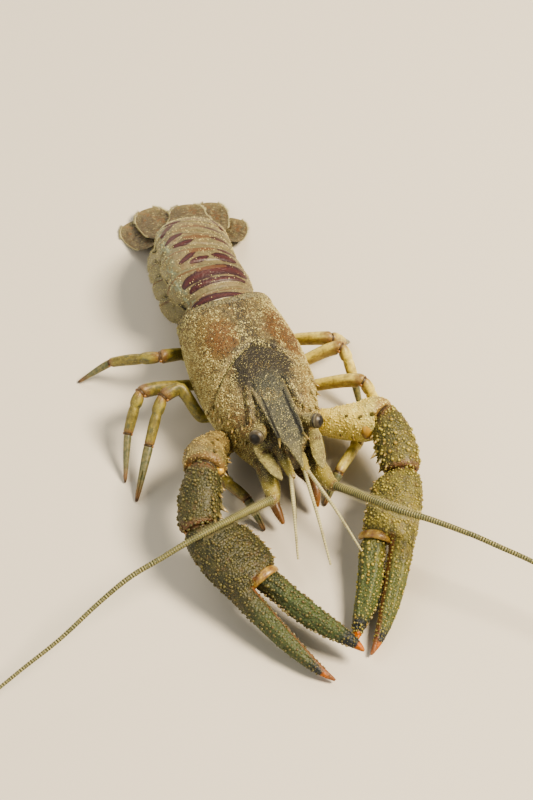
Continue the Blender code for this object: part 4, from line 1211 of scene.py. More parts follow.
feelers, near_halves = {}, {}
for side_name, points in FEELERS.items():
    name = "feeler_" + side_name
    meet = meeting(*points[4:7])
    thick, half, thin = (0.85 - 0.58 * (i / 11) ** 0.8 for i in (0, 5, 11))
    near_halves[side_name] = way(points[:6], end=meet)
    feelers[name + "_1"] = ringed(name + "_near", near_halves[side_name], thick, half, power=0.8)
    feelers[name + "_2"] = ringed(name + "_far", way(points[5:], start=meet), half, thin, 0.66)

# %% Stems, scales, small feelers and mouth limbs
STEM = ((0, 2.2), (0.14, 2.3, 2.2), (0.2, 1.95), (0.25, 2.1, 2.05), (0.42, 2.1, 2), (0.48, 1.65),
        (0.53, 1.85, 1.8), (0.78, 1.75, 1.7), (0.84, 1.35), (0.89, 1.45, 1.4), (1, 1.1))
LEAF = ((0, 1.1, 0.5), (0.15, 1.4, 0.55, 0.5), (0.5, 1.5, 0.45, 0.4), (0.78, 1.2, 0.4, 0.35),
        (0.9, 0.8, 0.35, 0.3), (1, 0.25))
SMALL_STEM = ((0, 1.2), (0.38, 1.2, 1.15), (0.43, 0.95), (0.48, 1.1, 1.05), (0.7, 1.05, 1), (0.74, 0.85),
              (0.79, 0.95, 0.9), (1, 0.7, 0.65))
JAW_LEG = ((0, 1.5, 1.4), (0.25, 1.6, 1.35), (0.5, 1.55, 1.3), (0.56, 1.25, 1.1), (0.61, 1.4, 1.2),
           (0.78, 1.2, 1), (0.82, 0.95, 0.85), (0.86, 1.05, 0.9), (1, 0.45, 0.4))
THREAD_TIPS = {"right": ((-2.6, -51, 8), (-5.7, -60.8, 8.5)),
               "left": ((-0.1, -64.1, 8.5), (6.3, -64.4, 10.6))}
head_parts = {}
for side_name, hand in HANDS.items():
    root, next_point = np.array(FEELERS[side_name][:2])
    first = next_point - root

    def keel(points, long, hand=hand):
        """A thick outer edge that ends in a thorn, and a thin round inner blade."""
        share = np.clip(points[:, 2] / long, 0, 1)
        points[:, 1] += 0.3 * hump(points[:, 0] * hand * -1 - 1.1, 0.5) * np.clip(1 - share, 0, 1)
        return points

    stem_way = way(((hand * 4.6, -36, 10.6), (hand * 5.2, -42, 11.2), root + unit(first) * 0.2), end=first)
    leaf_way = way(((hand * 6.1 + 0.5, -35.5, 14.4), (hand * 4.3 + 0.4, -45.8, 15.4)))
    head = (hand * 1.5, -46, 15)
    small_way = way(((hand * 1.7, -36.5, 14.5), (hand * 1.7, -43, 15.2), head))
    jaw_way = way(((hand * 3.4, -29, 5.4), (hand * 3.6, -36.5, 4.2), (hand * 4.6, -42, 5),
                   (hand * 4, -47.5 if hand < 0 else -45.8, 2.6)))
    for name, title, table, path, form in (
            ("feeler_stem_", "stem_", STEM, stem_way, (16, 2)),
            ("feeler_leaf_", "scale_", LEAF, leaf_way, (16, 2, keel)),
            ("small_feeler_", "small_stem_", SMALL_STEM, small_way, ())):
        head_parts[name + side_name] = limb(title + side_name, table, path, *form)
    for i, tip in enumerate(THREAD_TIPS[side_name]):
        start = np.array(head) + (0.35 if tip[0] > head[0] else -0.35, 0.6, 0)
        path = way((start, (start + tip) / 2 + (0, 0, 0.8), tip))
        name = "small_feeler_%s_thread_%d" % (side_name, i)
        feelers["thread_%s_%d" % (side_name, i)] = ringed(name, path, 0.42, 0.2)
    head_parts["mouth_leg_" + side_name] = limb("jaw_leg_" + side_name, JAW_LEG, jaw_way)
print("legs", len(legs), "claws", len(claws), "feelers", len(feelers), "head", len(head_parts))

# %% [markdown]
# ## Finishes
# The shell is chitin, the stuff of insect wings, stiffened with chalk. It is a
# little see-through and a little glossy, and its colours lie under the surface.
# Grains of silt cling to it all over, which is what makes the back look sandy.
# %% Marks that the finishes need
place = recall(carapace)
side_x, y = np.abs(place[:, 0]), place[:, 1]
middle_y = y.copy()
for _ in range(12):
    c = np.clip(side_x / 11.8, 0, 1)
    middle_y = y - read_smooth(SWEEP, middle_y, 1) * c ** 1.3
above = np.clip((place[:, 2] - 8) / 3, 0, 1)
neck = hump(middle_y + 14.6, 0.9) * above + 0.6 * hump(middle_y + 17.4, 0.9) * above
from_strip = np.abs(place[:, 0] - strip_middle(middle_y))
strip = np.clip((strip_half(middle_y) - from_strip) / 0.8 + 0.5, 0, 1)
strip = strip * np.clip((middle_y + 15.2) / 1, 0, 1)
# This mark is one on the pale line before the rear edge and two on the turned-in rear edge, which gets
# painted shade standing in for the gap before the tail.
rim = np.clip((middle_y + 1.6) / 0.3, 0, 1) + np.clip((middle_y + 0.34) / 0.1, 0, 1)
remember(carapace, "marks", np.stack([neck, strip, rim], 1))

# %% Back shell: chitin over muscle, sandy, with rust on the gill covers
RUST = (((8, -12.6, 19), (4.6, 8.8, 8)), ((-4.8, -11.4, 21), (4.4, 6.8, 8)), ((-7, -30.5, 18), (2.6, 3.6, 5)))
STOMACH = ((0.6, -21.4, 22), (7.6, 7.6, 9))
back_shell = begin("chitin_back", "#554d38", 0.5, 0.08)
soft = ragged(1.5, 4.2)
both = vector("ABSOLUTE", soft)
marks = axes(noted("marks", "Vector"))
lay("#736950", cloud(1.6, 6), 0.38, 0.62)
lay("#a38c50", region(both, (12, 20, 12), (9.5, 30, 12)), 0, 0.6, 0.85)
lay("#614626", region(soft, *RUST[0]), 0, 0.4, 0.95)
lay("#87703c", region(soft, (-6.4, -9.6, 20), (5.4, 8.6, 8)), 0, 0.4, 0.8)
lay("#75532c", region(soft, *RUST[1]), 0.1, 0.6, 0.85)
lay("#7a5636", cloud(2.4, 5, 21), 0.56, 0.7, 0.6)
lay("#3c372c", cloud(0.9, 5, 2), 0.5, 0.66, 0.6)
lay("#45413a", torn(marks[1], 1.2, 0.9), 0.4, 0.8, 0.85)
lay("#2a261e", region(soft, *STOMACH), 0.02, 0.26, 0.97)
lay("#4a4435", cloud(1.3, 5, 6), 0.56, 0.7, 0.5)
lay("#45493f", region(soft, (0.2, -29.5, 21), (6.4, 8, 6)), 0.05, 0.45, 0.8)
lay("#8b8562", torn(marks[0], 0.8, 2), 0.85, 1.25, 0.75)
lay("#7d7a60", marks[2], 0.35, 0.75, 0.8)
# painted shade: the turned-in rear edge is darkened, standing in for the shadow in the gap before the tail.
lay("#14120e", marks[2], 1.4, 1.7, 0.95)
lay("#231f19", specks(0.55), 0.4, 0.22, 0.75)
lay("#b9b27a", specks(0.4, 31), 0.25, 0.13, 0.6)
pitted(cloud(0.35, 5, 1), specks(0.42, 9), -0.8, 0.2)
dress(carapace, back_shell, "olive_shell", "carapace")
dress(belly, back_shell, "tail_shell")

beak_shell = begin("chitin_beak", "#33352f", 0.5, 0.05)
across = off(axes()[0], 0.25)
along = axes()[1]
lay("#55564a", cloud(0.9, 6), 0.38, 0.62)
lay("#5f5f48", cloud(1.9, 4, 3), 0.52, 0.66, 0.7)
lay("#6f664d", torn(across, 0.8, 1.2), 2.7, 3.3, 0.8)
# painted shade: a near-black line inside each raised rim of the beak, where the hollow top meets the rim.
lay("#0b0c0a", off(torn(across, 1.2, 0.3), 2.35), 0.34, 0.14, 0.97)
lay("#716d51", torn(along, 1.2, 4), -39.5, -43, 0.85)
lay("#a49f81", specks(0.4, 3), 0.27, 0.14, 0.6)
pitted(cloud(0.35, 5), specks(0.42, 9), -0.8, 0.18)
dress(beak, beak_shell, "olive_shell")

thorn_shell = begin("chitin_thorn", "#756b41", 0.35, 0.2)
lay("#9d8650", noted("lift"), 0.2, 0.5)
lay("#8a6a40", noted("lift"), 0.6, 0.85, 0.8)
lay("#a49f81", cloud(0.8, 3), 0.5, 0.65, 0.6)
for piece, slot in [(head_thorns, "olive_shell")] + [(p, "claw_shell") for p in claw_thorns]:
    dress(piece, thorn_shell, slot)

# %% Eyes: a grey-brown ball of tiny lenses, dark in the middle, in a cream ring and a gold collar
eye_glass = begin("cornea", "#716d51", 0.4, 0.1)
share = noted("share")
lay("#4d4639", torn(share, 0.6, 0.02), 0.7, 0.73)
lay("#a29b6e", off(share, 0.765), 0.014, 0.006, 0.95)
lay("#383533", off(share, 0.81), 0.026, 0.01, 0.8)
lay("#8a8466", off(torn(share, 0.7, 0.02), 0.86), 0.016, 0.006, 0.75)
lay("#565047", cloud(0.5, 5), 0.45, 0.62, 0.6)
lay("#1c1a19", share, 0.945, 0.965)
relief(specks(0.16), 0.02)
stalk_shell = begin("chitin_stalk", "#565038", 0.45)
lay("#87805a", cloud(0.6, 5), 0.42, 0.6)
lay("#76573b", cloud(1.2, 3, 5), 0.54, 0.66, 0.7)
for name, globe in globes.items():
    dress(stalks[name], stalk_shell, "olive_shell")
    dress(globe, eye_glass, "eye_black", name)

# %% Tail bands, each a line of places (across, along, half its breadth) on its ring, in millimetres
BANDS = (
    (0, ((-8.8, 3.75, 0.66), (-7.4, 4.10, 1.14), (-4.5, 4.35, 1.23), (-1.5, 4.15, 1.10), (1.5, 3.60, 0.85),
         (4.5, 3.05, 0.68), (7.5, 2.55, 0.38))),
    (1, ((-7, 1.9, 0.18), (-5.5, 2.15, 0.49), (-2, 2.4, 0.57), (1, 2.55, 0.54), (4, 2.45, 0.48),
         (6.8, 2.15, 0.22))),
    (1, ((-7.3, 3.4, 0.46), (-5.5, 3.75, 0.82), (-3, 4.05, 0.99), (-0.5, 4.6, 1.19), (1.5, 4.85, 1.32),
         (3.5, 4.8, 1.39), (5.6, 4.4, 1.32), (7, 4, 0.99), (8, 3.7, 0.40))),
    (2, ((-2.9, 1.95, 0.22), (-1.8, 2.15, 0.63), (-0.6, 2.45, 0.72), (0.3, 2.9, 0.38))),
    (2, ((1.5, 3.5, 0.30), (2.6, 3.1, 1.12), (4.2, 2.9, 1.35), (5.6, 2.55, 0.90), (6.6, 2.2, 0.30))),
    (2, ((-5, 2.5, 0.38), (-3.6, 3.1, 0.63), (-2.4, 3.8, 0.63), (-1.4, 4.5, 0.30))),
    (2, ((3.2, 5.5, 0.30), (4.8, 5.35, 0.68), (6.5, 5.1, 0.68), (8, 4.8, 0.30))),
    (3, ((-5.2, 1.9, 0.38), (-3.2, 2.15, 0.60), (-1.6, 2.65, 0.60), (-0.8, 3.1, 0.22))),
    (3, ((2.6, 4.5, 0.22), (4, 4.4, 0.57), (6, 4.1, 0.57), (7.4, 3.9, 0.22))),
    (3, ((-7.2, 3.5, 0.38), (-5.5, 4.4, 0.68), (-3.6, 5.25, 0.60), (-2.4, 5.8, 0.30))),
    (4, ((1.2, 3.6, 0.19), (3, 3.5, 0.48), (5, 3.2, 0.40), (6.6, 3, 0.19))),
    (4, ((-7.9, 2, 0.56), (-6.6, 3.2, 0.96), (-5.4, 4.6, 0.88), (-4.2, 5.8, 0.56))),
    (5, ((-6.4, 1.9, 0.29), (-4.8, 2.1, 0.61), (-3.2, 2.3, 0.51), (-2.2, 2.5, 0.17))),
    (5, ((4.2, 5.6, 0.22), (5.4, 4.2, 0.55), (6.8, 2.7, 0.61), (8.6, 1.9, 0.29))))
BROWNS = (
    (1, ((-2.2, 5.2, 0.3), (0.4, 5.55, 0.55), (2.8, 5.6, 0.4))),
    (2, ((-1.9, 4.9, 0.5), (0.4, 5.3, 0.75), (2.2, 5.6, 0.5))),
    (3, ((-2.2, 3.9, 0.5), (0.2, 4.3, 0.8), (2.4, 4.6, 0.5))),
    (4, ((-2, 3.6, 0.4), (0, 4, 0.7), (2, 4, 0.4))),
    (5, ((-1.5, 3, 0.4), (0.5, 3.6, 0.6), (2, 3.4, 0.4))))


def banded(x, v, line):
    """Over one inside a band, one half at its edge, falling to zero outside it."""
    line = np.array(line)
    nearest = np.full(len(x), 9)
    for (xa, va, ha), (xb, vb, hb) in zip(line[:-1], line[1:]):
        wide, long = xb - xa, vb - va
        along = np.clip(((x - xa) * wide + (v - va) * long) / (wide ** 2 + long ** 2), 0, 1)
        away = np.hypot(x - xa - along * wide, v - va - along * long)
        nearest = np.minimum(nearest, away / (ha + along * (hb - ha)))
    return np.clip(1.5 - nearest, 0, 1.5)


def lined(k, x, v, table):
    """How deep inside the bands of a table each place of ring k is."""
    deep = np.zeros(len(x))
    for n, line in table:
        if n == k:
            deep = np.maximum(deep, banded(x, v, line))
    return deep


for k, ring in enumerate(tail_rings):
    home = recall(ring)
    x, v = home[:, 0], home[:, 1]
    bands = lined(k, x, v, BANDS)
    pale = np.clip((v - 5.75) / 0.25, 0, 1)
    if k == 0:
        pale = hump(bands - 0.3, 0.16) * (v < np.interp(x, (-8, -4, 8), (3.2, 3.6, 2.2))) * (np.abs(x) < 11)
    remember(ring, "marks", np.stack([bands, lined(k, x, v, BROWNS), pale], 1))
    x = np.abs(x)
    # This mask marks the hollows between the arch and the side lobes, and the front of each lobe under the
    # ring before, for painted shade.
    pit = hump(x - 13.4, 1.5) * hump(v - 2, 1.4) + 0.7 * hump(x - 17, 1.6) * hump(v - 1.4, 0.8)
    remember(ring, "pit", pit * (k > 0))

tail_shell = begin("chitin_tail", "#7d7554", 0.5, 0.08)
marks = axes(noted("marks", "Vector"))
signed = axes()[0]
along_ring = axes()[1]
across = axes(vector("ABSOLUTE", brush.rest))[0]
lay("#605a44", cloud(1.1, 6), 0.4, 0.62)
lay("#827453", cloud(2.6, 4, 4), 0.46, 0.62, 0.7)
to_the_right = number("SMOOTH_MIN", number("MULTIPLY", signed, -0.14), 1, 0.2)
glint = number("MULTIPLY", cloud(0.9, 5, 14), to_the_right)
lay("#7b8a76", glint, 0.44, 0.6, 0.85)
lay("#a1ab94", glint, 0.56, 0.7, 0.8)
lay("#76573b", cloud(1.8, 5, 24), 0.56, 0.7, 0.6)
lay("#8c8260", torn(across, 1.2, 3), 9.5, 12.5, 0.8)
lay("#8a8468", torn(across, 1, 3, 5), 13.5, 16.5, 0.7)
lay("#8a845f", cloud(0.7, 4, 17), 0.58, 0.68, 0.5)
lay("#716d51", marks[2], 0.3, 0.8, 0.8)
lay("#c9c5b0", number("MULTIPLY", marks[2], ramp(axes()[2], 4, 6, 0, 1)), 0.3, 0.8, 0.95)
lay("#64452f", off(torn(along_ring, 1, 0.3), 5.6), 0.26, 0.1, 0.75)
lay("#3f1a24", torn(marks[0], 0.9, 0.9), 0.42, 0.6, 0.97)
lay("#2b1522", off(torn(marks[0], 0.5, 0.6, 8), 0.68), 0.22, 0.08, 0.75)
lay("#562628", torn(marks[0], 0.8, 1, 8), 1.1, 1.5, 0.7)
lay("#6a4a33", torn(marks[1], 0.9, 1, 3), 0.4, 0.9, 0.85)
# painted shade in the hollows between the arch and the lobes of each ring.
lay("#1d1a18", torn(noted("pit"), 0.8, 0.5), 0.3, 0.6, 0.95)
lay("#2f2a20", specks(0.7, 12), 0.24, 0.12, 0.45)
pitted(cloud(0.45, 6), specks(0.5, 9), -0.5, 0.14)
for k, ring in enumerate(tail_rings):
    dress(ring, tail_shell, "tail_shell", "abdomen_" + str(k + 1))
for piece in swimmerets:
    dress(piece, tail_shell, "tail_shell")

# %% Tail fan: thin chitin, paler than the rest, with a dark seam
fan_shell = begin("chitin_fan", "#5f5540", 0.55, 0.05, 0.1)
share = noted("share")
lay("#4a412d", cloud(1, 6), 0.4, 0.64)
lay("#7a7050", cloud(0.5, 5, 11), 0.54, 0.66, 0.6)
lay("#6f4f2e", cloud(1.1, 4, 7), 0.54, 0.66, 0.8)
lay("#9a9068", cloud(0.8, 5, 33), 0.56, 0.66, 0.8)
lay("#6d6b50", cloud(1.6, 4, 27), 0.56, 0.68, 0.5)
x = axes()[0]
seam = number("ADD", share, number("MULTIPLY", number("MULTIPLY", x, x), 0.0052))
lay("#4e3e31", off(torn(seam, 1.2, 0.02), 0.72), 0.016, 0.006, 0.5)
lay("#8a8058", torn(share, 0.8, 0.2), 0.86, 1.02, 0.7)
lay("#a29a70", specks(0.5, 3), 0.24, 0.1, 0.6)
pitted(cloud(0.6, 5), specks(0.5, 3), -0.6, 0.2)
for name, plate in fan_plates.items():
    dress(plate, fan_shell, "fan_shell", name)

# %% Claws: olive chitin full of pale knobs, a blue-black band and orange tips
def claw_finish(name, base, dark, patch, tips, inner=0):
    """Olive chitin that turns blue-black and then orange toward the tips."""
    material = begin(name, base, 0.52, 0.06)
    share = noted("share")
    lay(dark, cloud(1.3, 6, Vector=stretched(0.45)), 0.4, 0.6)
    lay(patch, cloud(2.2, 5, 9), 0.48, 0.62, 0.75)
    lay("#54402a", cloud(1.3, 5, 5), 0.54, 0.68, 0.6)
    if tips:
        green = (0.1, 0.3) if tips < 0.8 else (0.44, 0.58)
        lay("#46562e", torn(share, 1.5, 0.2), *green, 0.7)
        ends = torn(share, 1.2, 0.05)
        lay("#1a222c", ends, tips, tips + 0.07, 0.95)
        lay("#b06010", ends, 0.925, 0.94, 1)
        lay("#b86d14", ends, 0.965, 1, 0.8)
        if inner:
            inward = number("MULTIPLY", axes()[0], -inner)
            edge = number("MULTIPLY", ramp(share, 0.36, 0.4), ramp(torn(inward, 1, 0.8), -1.3, -0.5))
            lay("#84583a", edge, 0.2, 0.8, 0.9)
    else:
        lay("#6a4a33", torn(share, 0.9, 0.14), 0.88, 0.97, 0.85)
        lay("#6a4a33", torn(share, 0.9, 0.14), 0.12, 0.03, 0.8)
    lay("#26261b", specks(0.7, 14), 0.32, 0.15, 0.6)
    lay("#978f53", specks(0.42, 2), 0.24, 0.12, 0.6)
    pitted(cloud(0.5, 3), specks(0.5, 9), -1, 0.2, 0.35)
    return material


# The right claw's colours are darker than the left claw's: lit and shaded copies, with painted shade on the
# right claw.
CLAW_COLOURS_LIT_AND_SHADED = {  # ground, dark and patch of the wrist, the palm and the finger
    "left": (("#5d592e", "#434423", "#776d34"), ("#6f6a35", "#4f4d27", "#857a38"),
             ("#5f6336", "#3c4727", "#77723a")),
    "right": (("#464526", "#33351c", "#57522c"), ("#3c3c20", "#2b2d18", "#4e4a26"),
              ("#40462a", "#28341e", "#565a32"))}
claw_shells = {}
for side_name, shades in CLAW_COLOURS_LIT_AND_SHADED.items():
    inner = claw_hands["claw_" + side_name]
    for kind, shade, tips in zip(("wrist", "palm", "finger"), shades, (None, 0.83, 0.76)):
        claw_shells[side_name, kind] = claw_finish("chitin_%s_%s" % (kind, side_name), *shade, tips,
                                                   inner if kind == "palm" else 0)

arm_shells = {}
# The right arm's colours are darker than the left arm's: lit and shaded copies, with painted shade on the
# right arm.
for side_name, (base, dark, light, stained) in {
        "left": ("#e4d070", "#b4a35e", "#f6ea98", "#6a5c40"),
        "right": ("#7d6d45", "#54462f", "#b0a068", "#453424")}.items():
    arm_shells[side_name] = begin("chitin_arm_" + side_name, base, 0.5, 0.1, 0.1)
    share = noted("share")
    lay(dark, cloud(1.4, 6), 0.44, 0.66)
    lay(light, cloud(2.2, 4, 8), 0.46, 0.62, 0.7)
    lay("#6a6847", torn(share, 1.6, 0.6), 0.78, 1.05, 0.7)
    lay(stained, torn(share, 1.4, 0.5, 3), 0.3, 0, 0.85)
    lay("#80603a", torn(share, 0.7, 0.06), 0.965, 0.985, 0.7)
    # painted shade: the underside of the arm is darkened.
    lay("#5f5440", axes()[1], -0.5, -3.5, 0.6)
    lay(light, specks(0.45, 4), 0.26, 0.13, 0.8)
    lay(dark, specks(0.5, 14), 0.26, 0.13, 0.6)
    pitted(cloud(0.5, 3), specks(0.45, 4), -1, 0.16, 0.4)

for name, piece in claws.items():
    _, side_name, kind = name.split("_")
    if kind == "arm":
        dress(piece, arm_shells[side_name], "limb_shell", name)
    else:
        dress(piece, claw_shells[side_name, kind], "claw_shell", name)

# %% Legs: thin yellow chitin, blotched with green, orange at the joints
leg_shells = {}
# The right legs' colours are darker than the left legs': lit and shaded copies, with painted shade on the
# right legs.
for side_name, (base, dark, light) in {
        "left": ("#d8c86e", "#a09050", "#ecdf88"), "right": ("#857a3e", "#5c552f", "#a89d4c")}.items():
    leg_shells[side_name] = begin("chitin_leg_" + side_name, base, 0.45, 0.1, 0.12)
    share = noted("share")
    lengthwise = stretched(0.35)
    lay(dark, cloud(1.2, 5), 0.42, 0.64)
    lay(light, cloud(1.2, 5, 12, Vector=lengthwise), 0.5, 0.64, 0.7)
    green = (0.53, 0.62) if side_name == "right" else (0.62, 0.72)
    lay("#4d5440", cloud(0.9, 5, 3, Vector=lengthwise), *green, 0.7)
    lay("#76573b", off(torn(axes()[0], 1, 0.3), 1.25), 0.3, 0.1, 0.6)
    lay("#76573b", torn(share, 0.7, 0.16), 0.88, 0.96, 0.8)
    lay("#80603c", torn(share, 0.7, 0.16, 4), 0.13, 0.04, 0.7)
    lay("#c2bb75", specks(0.4, 2), 0.24, 0.12, 0.6)
    lay(dark, specks(0.5, 12), 0.24, 0.12, 0.5)
    relief(cloud(0.35, 5), 0.12)

toe_shell = begin("chitin_toe", "#7b7550", 0.42, 0.12, 0.12)
share = noted("share")
lay("#525a42", cloud(0.8, 5), 0.42, 0.6)
lay("#76573b", torn(share, 0.8, 0.1), 0.62, 0.85, 0.8)
lay("#3f2d22", share, 0.9, 0.97, 0.9)
relief(cloud(0.3, 4), 0.07)
for name, piece in legs.items():
    dress(piece, toe_shell if name.endswith("toe") else leg_shells[name.split("_")[2]], "limb_shell", name)

# %% Feelers: pale rings with a darker seam between
feeler_shell = begin("chitin_feeler", "#62633f", 0.4, 0.1, 0.1)
seam = number("PINGPONG", axes()[2], RING / 2)
lay("#a09a6c", seam, 0.08, 0.22)
lay("#565d40", cloud(2.4, 4), 0.48, 0.64, 0.5)
lay("#393a28", seam, 0.1, 0)
thread_shell = begin("chitin_thread", "#a39c77", 0.4, 0.1, 0.1)
seam = number("PINGPONG", axes()[2], RING / 2)
lay("#c6c29a", seam, 0.04, 0.16)
lay("#807858", cloud(3, 3), 0.5, 0.64, 0.5)
for name, piece in feelers.items():
    if name.startswith("feeler"):
        dress(piece, feeler_shell, "feeler_shell", name)
    else:
        dress(piece, thread_shell, "feeler_shell")

stem_shell = begin("chitin_stem", "#6b6346", 0.45, 0.12, 0.1)
share = noted("share")
lay("#49442f", cloud(1, 6), 0.42, 0.62)
lay("#9c9048", torn(share, 1, 0.2), 0.5, 0.62, 0.8)
lay("#76573b", cloud(1.4, 4, 6), 0.53, 0.64, 0.75)
lay("#684d36", torn(share, 0.6, 0.05), 0.92, 0.96, 0.7)
lay("#beb47a", specks(0.4, 2), 0.28, 0.15, 0.7)
relief(cloud(0.35, 5), 0.12)
scale_shell = begin("chitin_scale", "#7a7350", 0.55)
lay("#a39c66", cloud(0.9, 6), 0.4, 0.62)
lay("#5a4434", cloud(1.3, 4, 6), 0.54, 0.66, 0.75)
lay("#c2bb7c", specks(0.45, 2), 0.3, 0.16, 0.8)
relief(cloud(0.35, 5), 0.12)
mouth_shell = begin("chitin_mouth", "#5f4628", 0.4, 0.2, 0.15)
lay("#43331f", cloud(1, 5), 0.4, 0.62)
lay("#8a5c2c", noted("share"), 0.6, 1, 0.8)
relief(cloud(0.35, 5), 0.08)
for name, piece in head_parts.items():
    if name.startswith("mouth"):
        dress(piece, mouth_shell, "mouth_shell", name)
    else:
        dress(piece, scale_shell if "leaf" in name else stem_shell, "feeler_shell", name)

# %% [markdown]
# ## Knobs, soft skin, grains and bristles
# These are small and many, so each is a copy of one of the moulds made earlier.
# Silt settles in clumps, so its grains are sown where an uneven pattern is high.
# %% Joint knobs, hinge lips, teeth and soft skin
knob_shell = begin("chitin_knob", "#7a5536", 0.3, 0.4)
lay("#a0763f", noted("lift"), 0.2, 0.9)
dress(spread("joint_knobs", PEBBLE, *zip(*knobs)), knob_shell, "limb_shell")
lip_shell = begin("chitin_lip", "#a08445", 0.35, 0.3)
lay("#76573b", cloud(1, 5), 0.42, 0.62)
lay("#c2a85a", cloud(0.7, 4, 6), 0.54, 0.64, 0.8)
lay("#5a2f24", off(noted("share"), 0.5), 0.4, 0.48, 0.85)
relief(cloud(0.35, 4), 0.14)
for piece in claw_lips:
    dress(piece, lip_shell, "claw_shell")
boss_shell = begin("chitin_boss", "#8a6a35", 0.32, 0.3)
lay("#d6b04c", noted("lift"), -0.8, 0.5)
lay("#84583a", cloud(0.8, 4), 0.54, 0.66, 0.7)
tooth_shell = begin("chitin_tooth", "#604836", 0.3, 0.3)
lay("#a29b6e", noted("lift"), 0.1, 0.7)
for piece in claw_teeth:
    dress(piece, tooth_shell, "claw_shell")
skin_soft = begin("joint_skin", "#59442c", 0.5, 0, 0.3)
lay("#382e20", cloud(0.5, 3), 0.4, 0.6)
BALL = moulded("ico_sphere", subdivisions=3, radius=1)
BOSSES = np.array(((17.95, -36.75, 12.55), (-14.9, -38.9, 14.4)))
bosses = spread("elbow_bosses", BALL, BOSSES - MIDDLE, [(0.25, 0.73, 0.63), (0.94, -0.33, 0.1)],
                [(1.6, 1.35, 2.6), (0.8, 0.9, 1.25)])
dress(bosses, boss_shell, "limb_shell")
skin_places, skin_outs, skin_sizes = zip(*skins)
joint_skins = spread("joint_skins", BALL, skin_places, skin_outs,
                     [(size * 0.86, size * 0.9, size * 0.7) for size in skin_sizes])
dress(joint_skins, skin_soft, "limb_shell")

# %% Pale knobs on the claws and arms
knob_shells = {}
# The right claw's and right arm's knobs are darker than the left ones: lit and shaded copies, with painted
# shade on the right side.
for kind, (foot, peak, rusty) in {
        "arm_left": ("#c9ba6c", "#f6ea98", "#d2b468"), "arm_right": ("#7a6c42", "#c2b070", "#76573b"),
        "left": ("#5d5a2e", "#b4a95c", "#8a6f38"), "right": ("#3c3c22", "#726c40", "#5f4a2c")}.items():
    knob_shells[kind] = begin("chitin_knob_" + kind, foot, 0.45, 0.08)
    lay(peak, noted("lift"), -0.1, 0.9)
    lay(foot, cloud(1.1, 4), 0.5, 0.68, 0.75)
    lay(rusty, cloud(1.6, 3, 7), 0.52, 0.66, 0.7)
draw = np.random.default_rng(7)


def uneven(p, grain, seed=0):
    """Smooth uneven numbers around zero, for every place."""
    return np.array([noise.noise(Vector((q[0] / grain + seed, q[1] / grain, q[2] / grain))) for q in p])


def studs(home, at, out):
    """Keep knobs off the underside, and thin them out unevenly."""
    return (out[:, 2] > -0.5) & (draw.random(len(home)) < 0.62 + 0.9 * uneven(home, 1.6))


def on_palm_only(home, at, out):
    """Keep knobs on the palm, short of its finger."""
    return studs(home, at, out) & (home[:, 2] < 0.41 * palm_long)


KNOBS = {  # spacing, smallest, largest, and what keeps them off some places
    "arm": (0.5, 0.1, 0.3, studs),
    "wrist": (0.56, 0.13, 0.52, studs),
    "palm": (0.48, 0.12, 0.42, on_palm_only)}
for name, piece in claws.items():
    kind = name.split("_")[-1]
    palm_long = claw_ways[name]["long"]
    if kind in KNOBS:
        gap, small, large, keep = KNOBS[kind]
        at, out, home = sow(piece, gap, 23, keep)
        sizes = small + (large - small) * draw.random(len(at)) ** 2.6
        claw_knobs.append(spread(name + "_knobs", GRAIN, at, out, sizes, home))
for piece in claw_knobs:
    _, side_name, kind, *_ = piece.name.split("_")
    dress(piece, knob_shells["arm_" + side_name if kind == "arm" else side_name], "claw_shell")

# %% Silt on the back and head
silts = {}
for name, dark_end, light_end in (
        ("cream", "#9a9162", "#e2daa0"), ("gold", "#86744a", "#bba468"), ("dark", "#2c2922", "#49453a")):
    silts[name] = begin("silt_" + name, dark_end, 0.7)
    lay(light_end, cloud(0.5, 3), 0.35, 0.65)
    if name == "gold":
        for centre, size in RUST:
            lay("#84552f", region(brush.rest, centre, size), 0.02, 0.3, 0.85)


def inside(home, centre, size):
    """One at the centre of an ellipsoid, falling to zero at its edge, for every place."""
    return np.clip(1 - np.linalg.norm((home - centre) / size, axis=1), 0, 1)


def silted(kind):
    """Which places hold silt of one kind.

    It is thin on the dark patch and the rust, and thick on the flanks and in the neck groove.
    """
    def keep(home, at, out):
        clump = uneven(home, 0.8, 3) + 0.7 * uneven(home, 2.6, 8)
        side = np.abs(home[:, 0])
        flank = np.clip((side - 4.5) / 6, 0, 1)
        ragged_home = home + np.stack([uneven(home, 2, seed) for seed in (30, 60, 90)], 1) * 2.4
        dark = np.clip(inside(ragged_home, *STOMACH) * 3.4, 0, 1)
        rust = np.clip(sum(inside(ragged_home, *patch) for patch in RUST) * 3, 0, 1)
        front = np.clip((-25 - home[:, 1]) / 6, 0, 1) * np.clip((side - 2) / 3, 0, 1)
        arch = np.abs(home[:, 1] + 15 + 0.62 * np.clip(side - 0.6, 0, 9.5) * 1.15)
        neck = hump(arch, 0.8) * (side < 10)
        rear = np.clip((home[:, 1] + 2.4) / 0.8, 0, 1)
        cream = (0.16 + 1.3 * clump + 0.36 * flank + 1.6 * neck - 1.1 * dark - 0.5 * rust
                 + 0.38 * front - 0.3 * rear)
        chance = {"cream": np.maximum(cream, 0.05), "lump": cream - 0.12,
                  "gold": (0.34 - 0.7 * clump + 0.4 * flank - 0.6 * dark + 0.2 * rust
                           + 0.2 * front - 0.3 * rear),
                  "dark": 0.16 - 0.5 * clump + 0.25 * dark}[kind]
        on_back = (home[:, 2] > 7) & (home[:, 1] > -38.4) & (home[:, 1] < 2.4)
        return (draw.random(len(home)) < chance) & on_back
    return keep


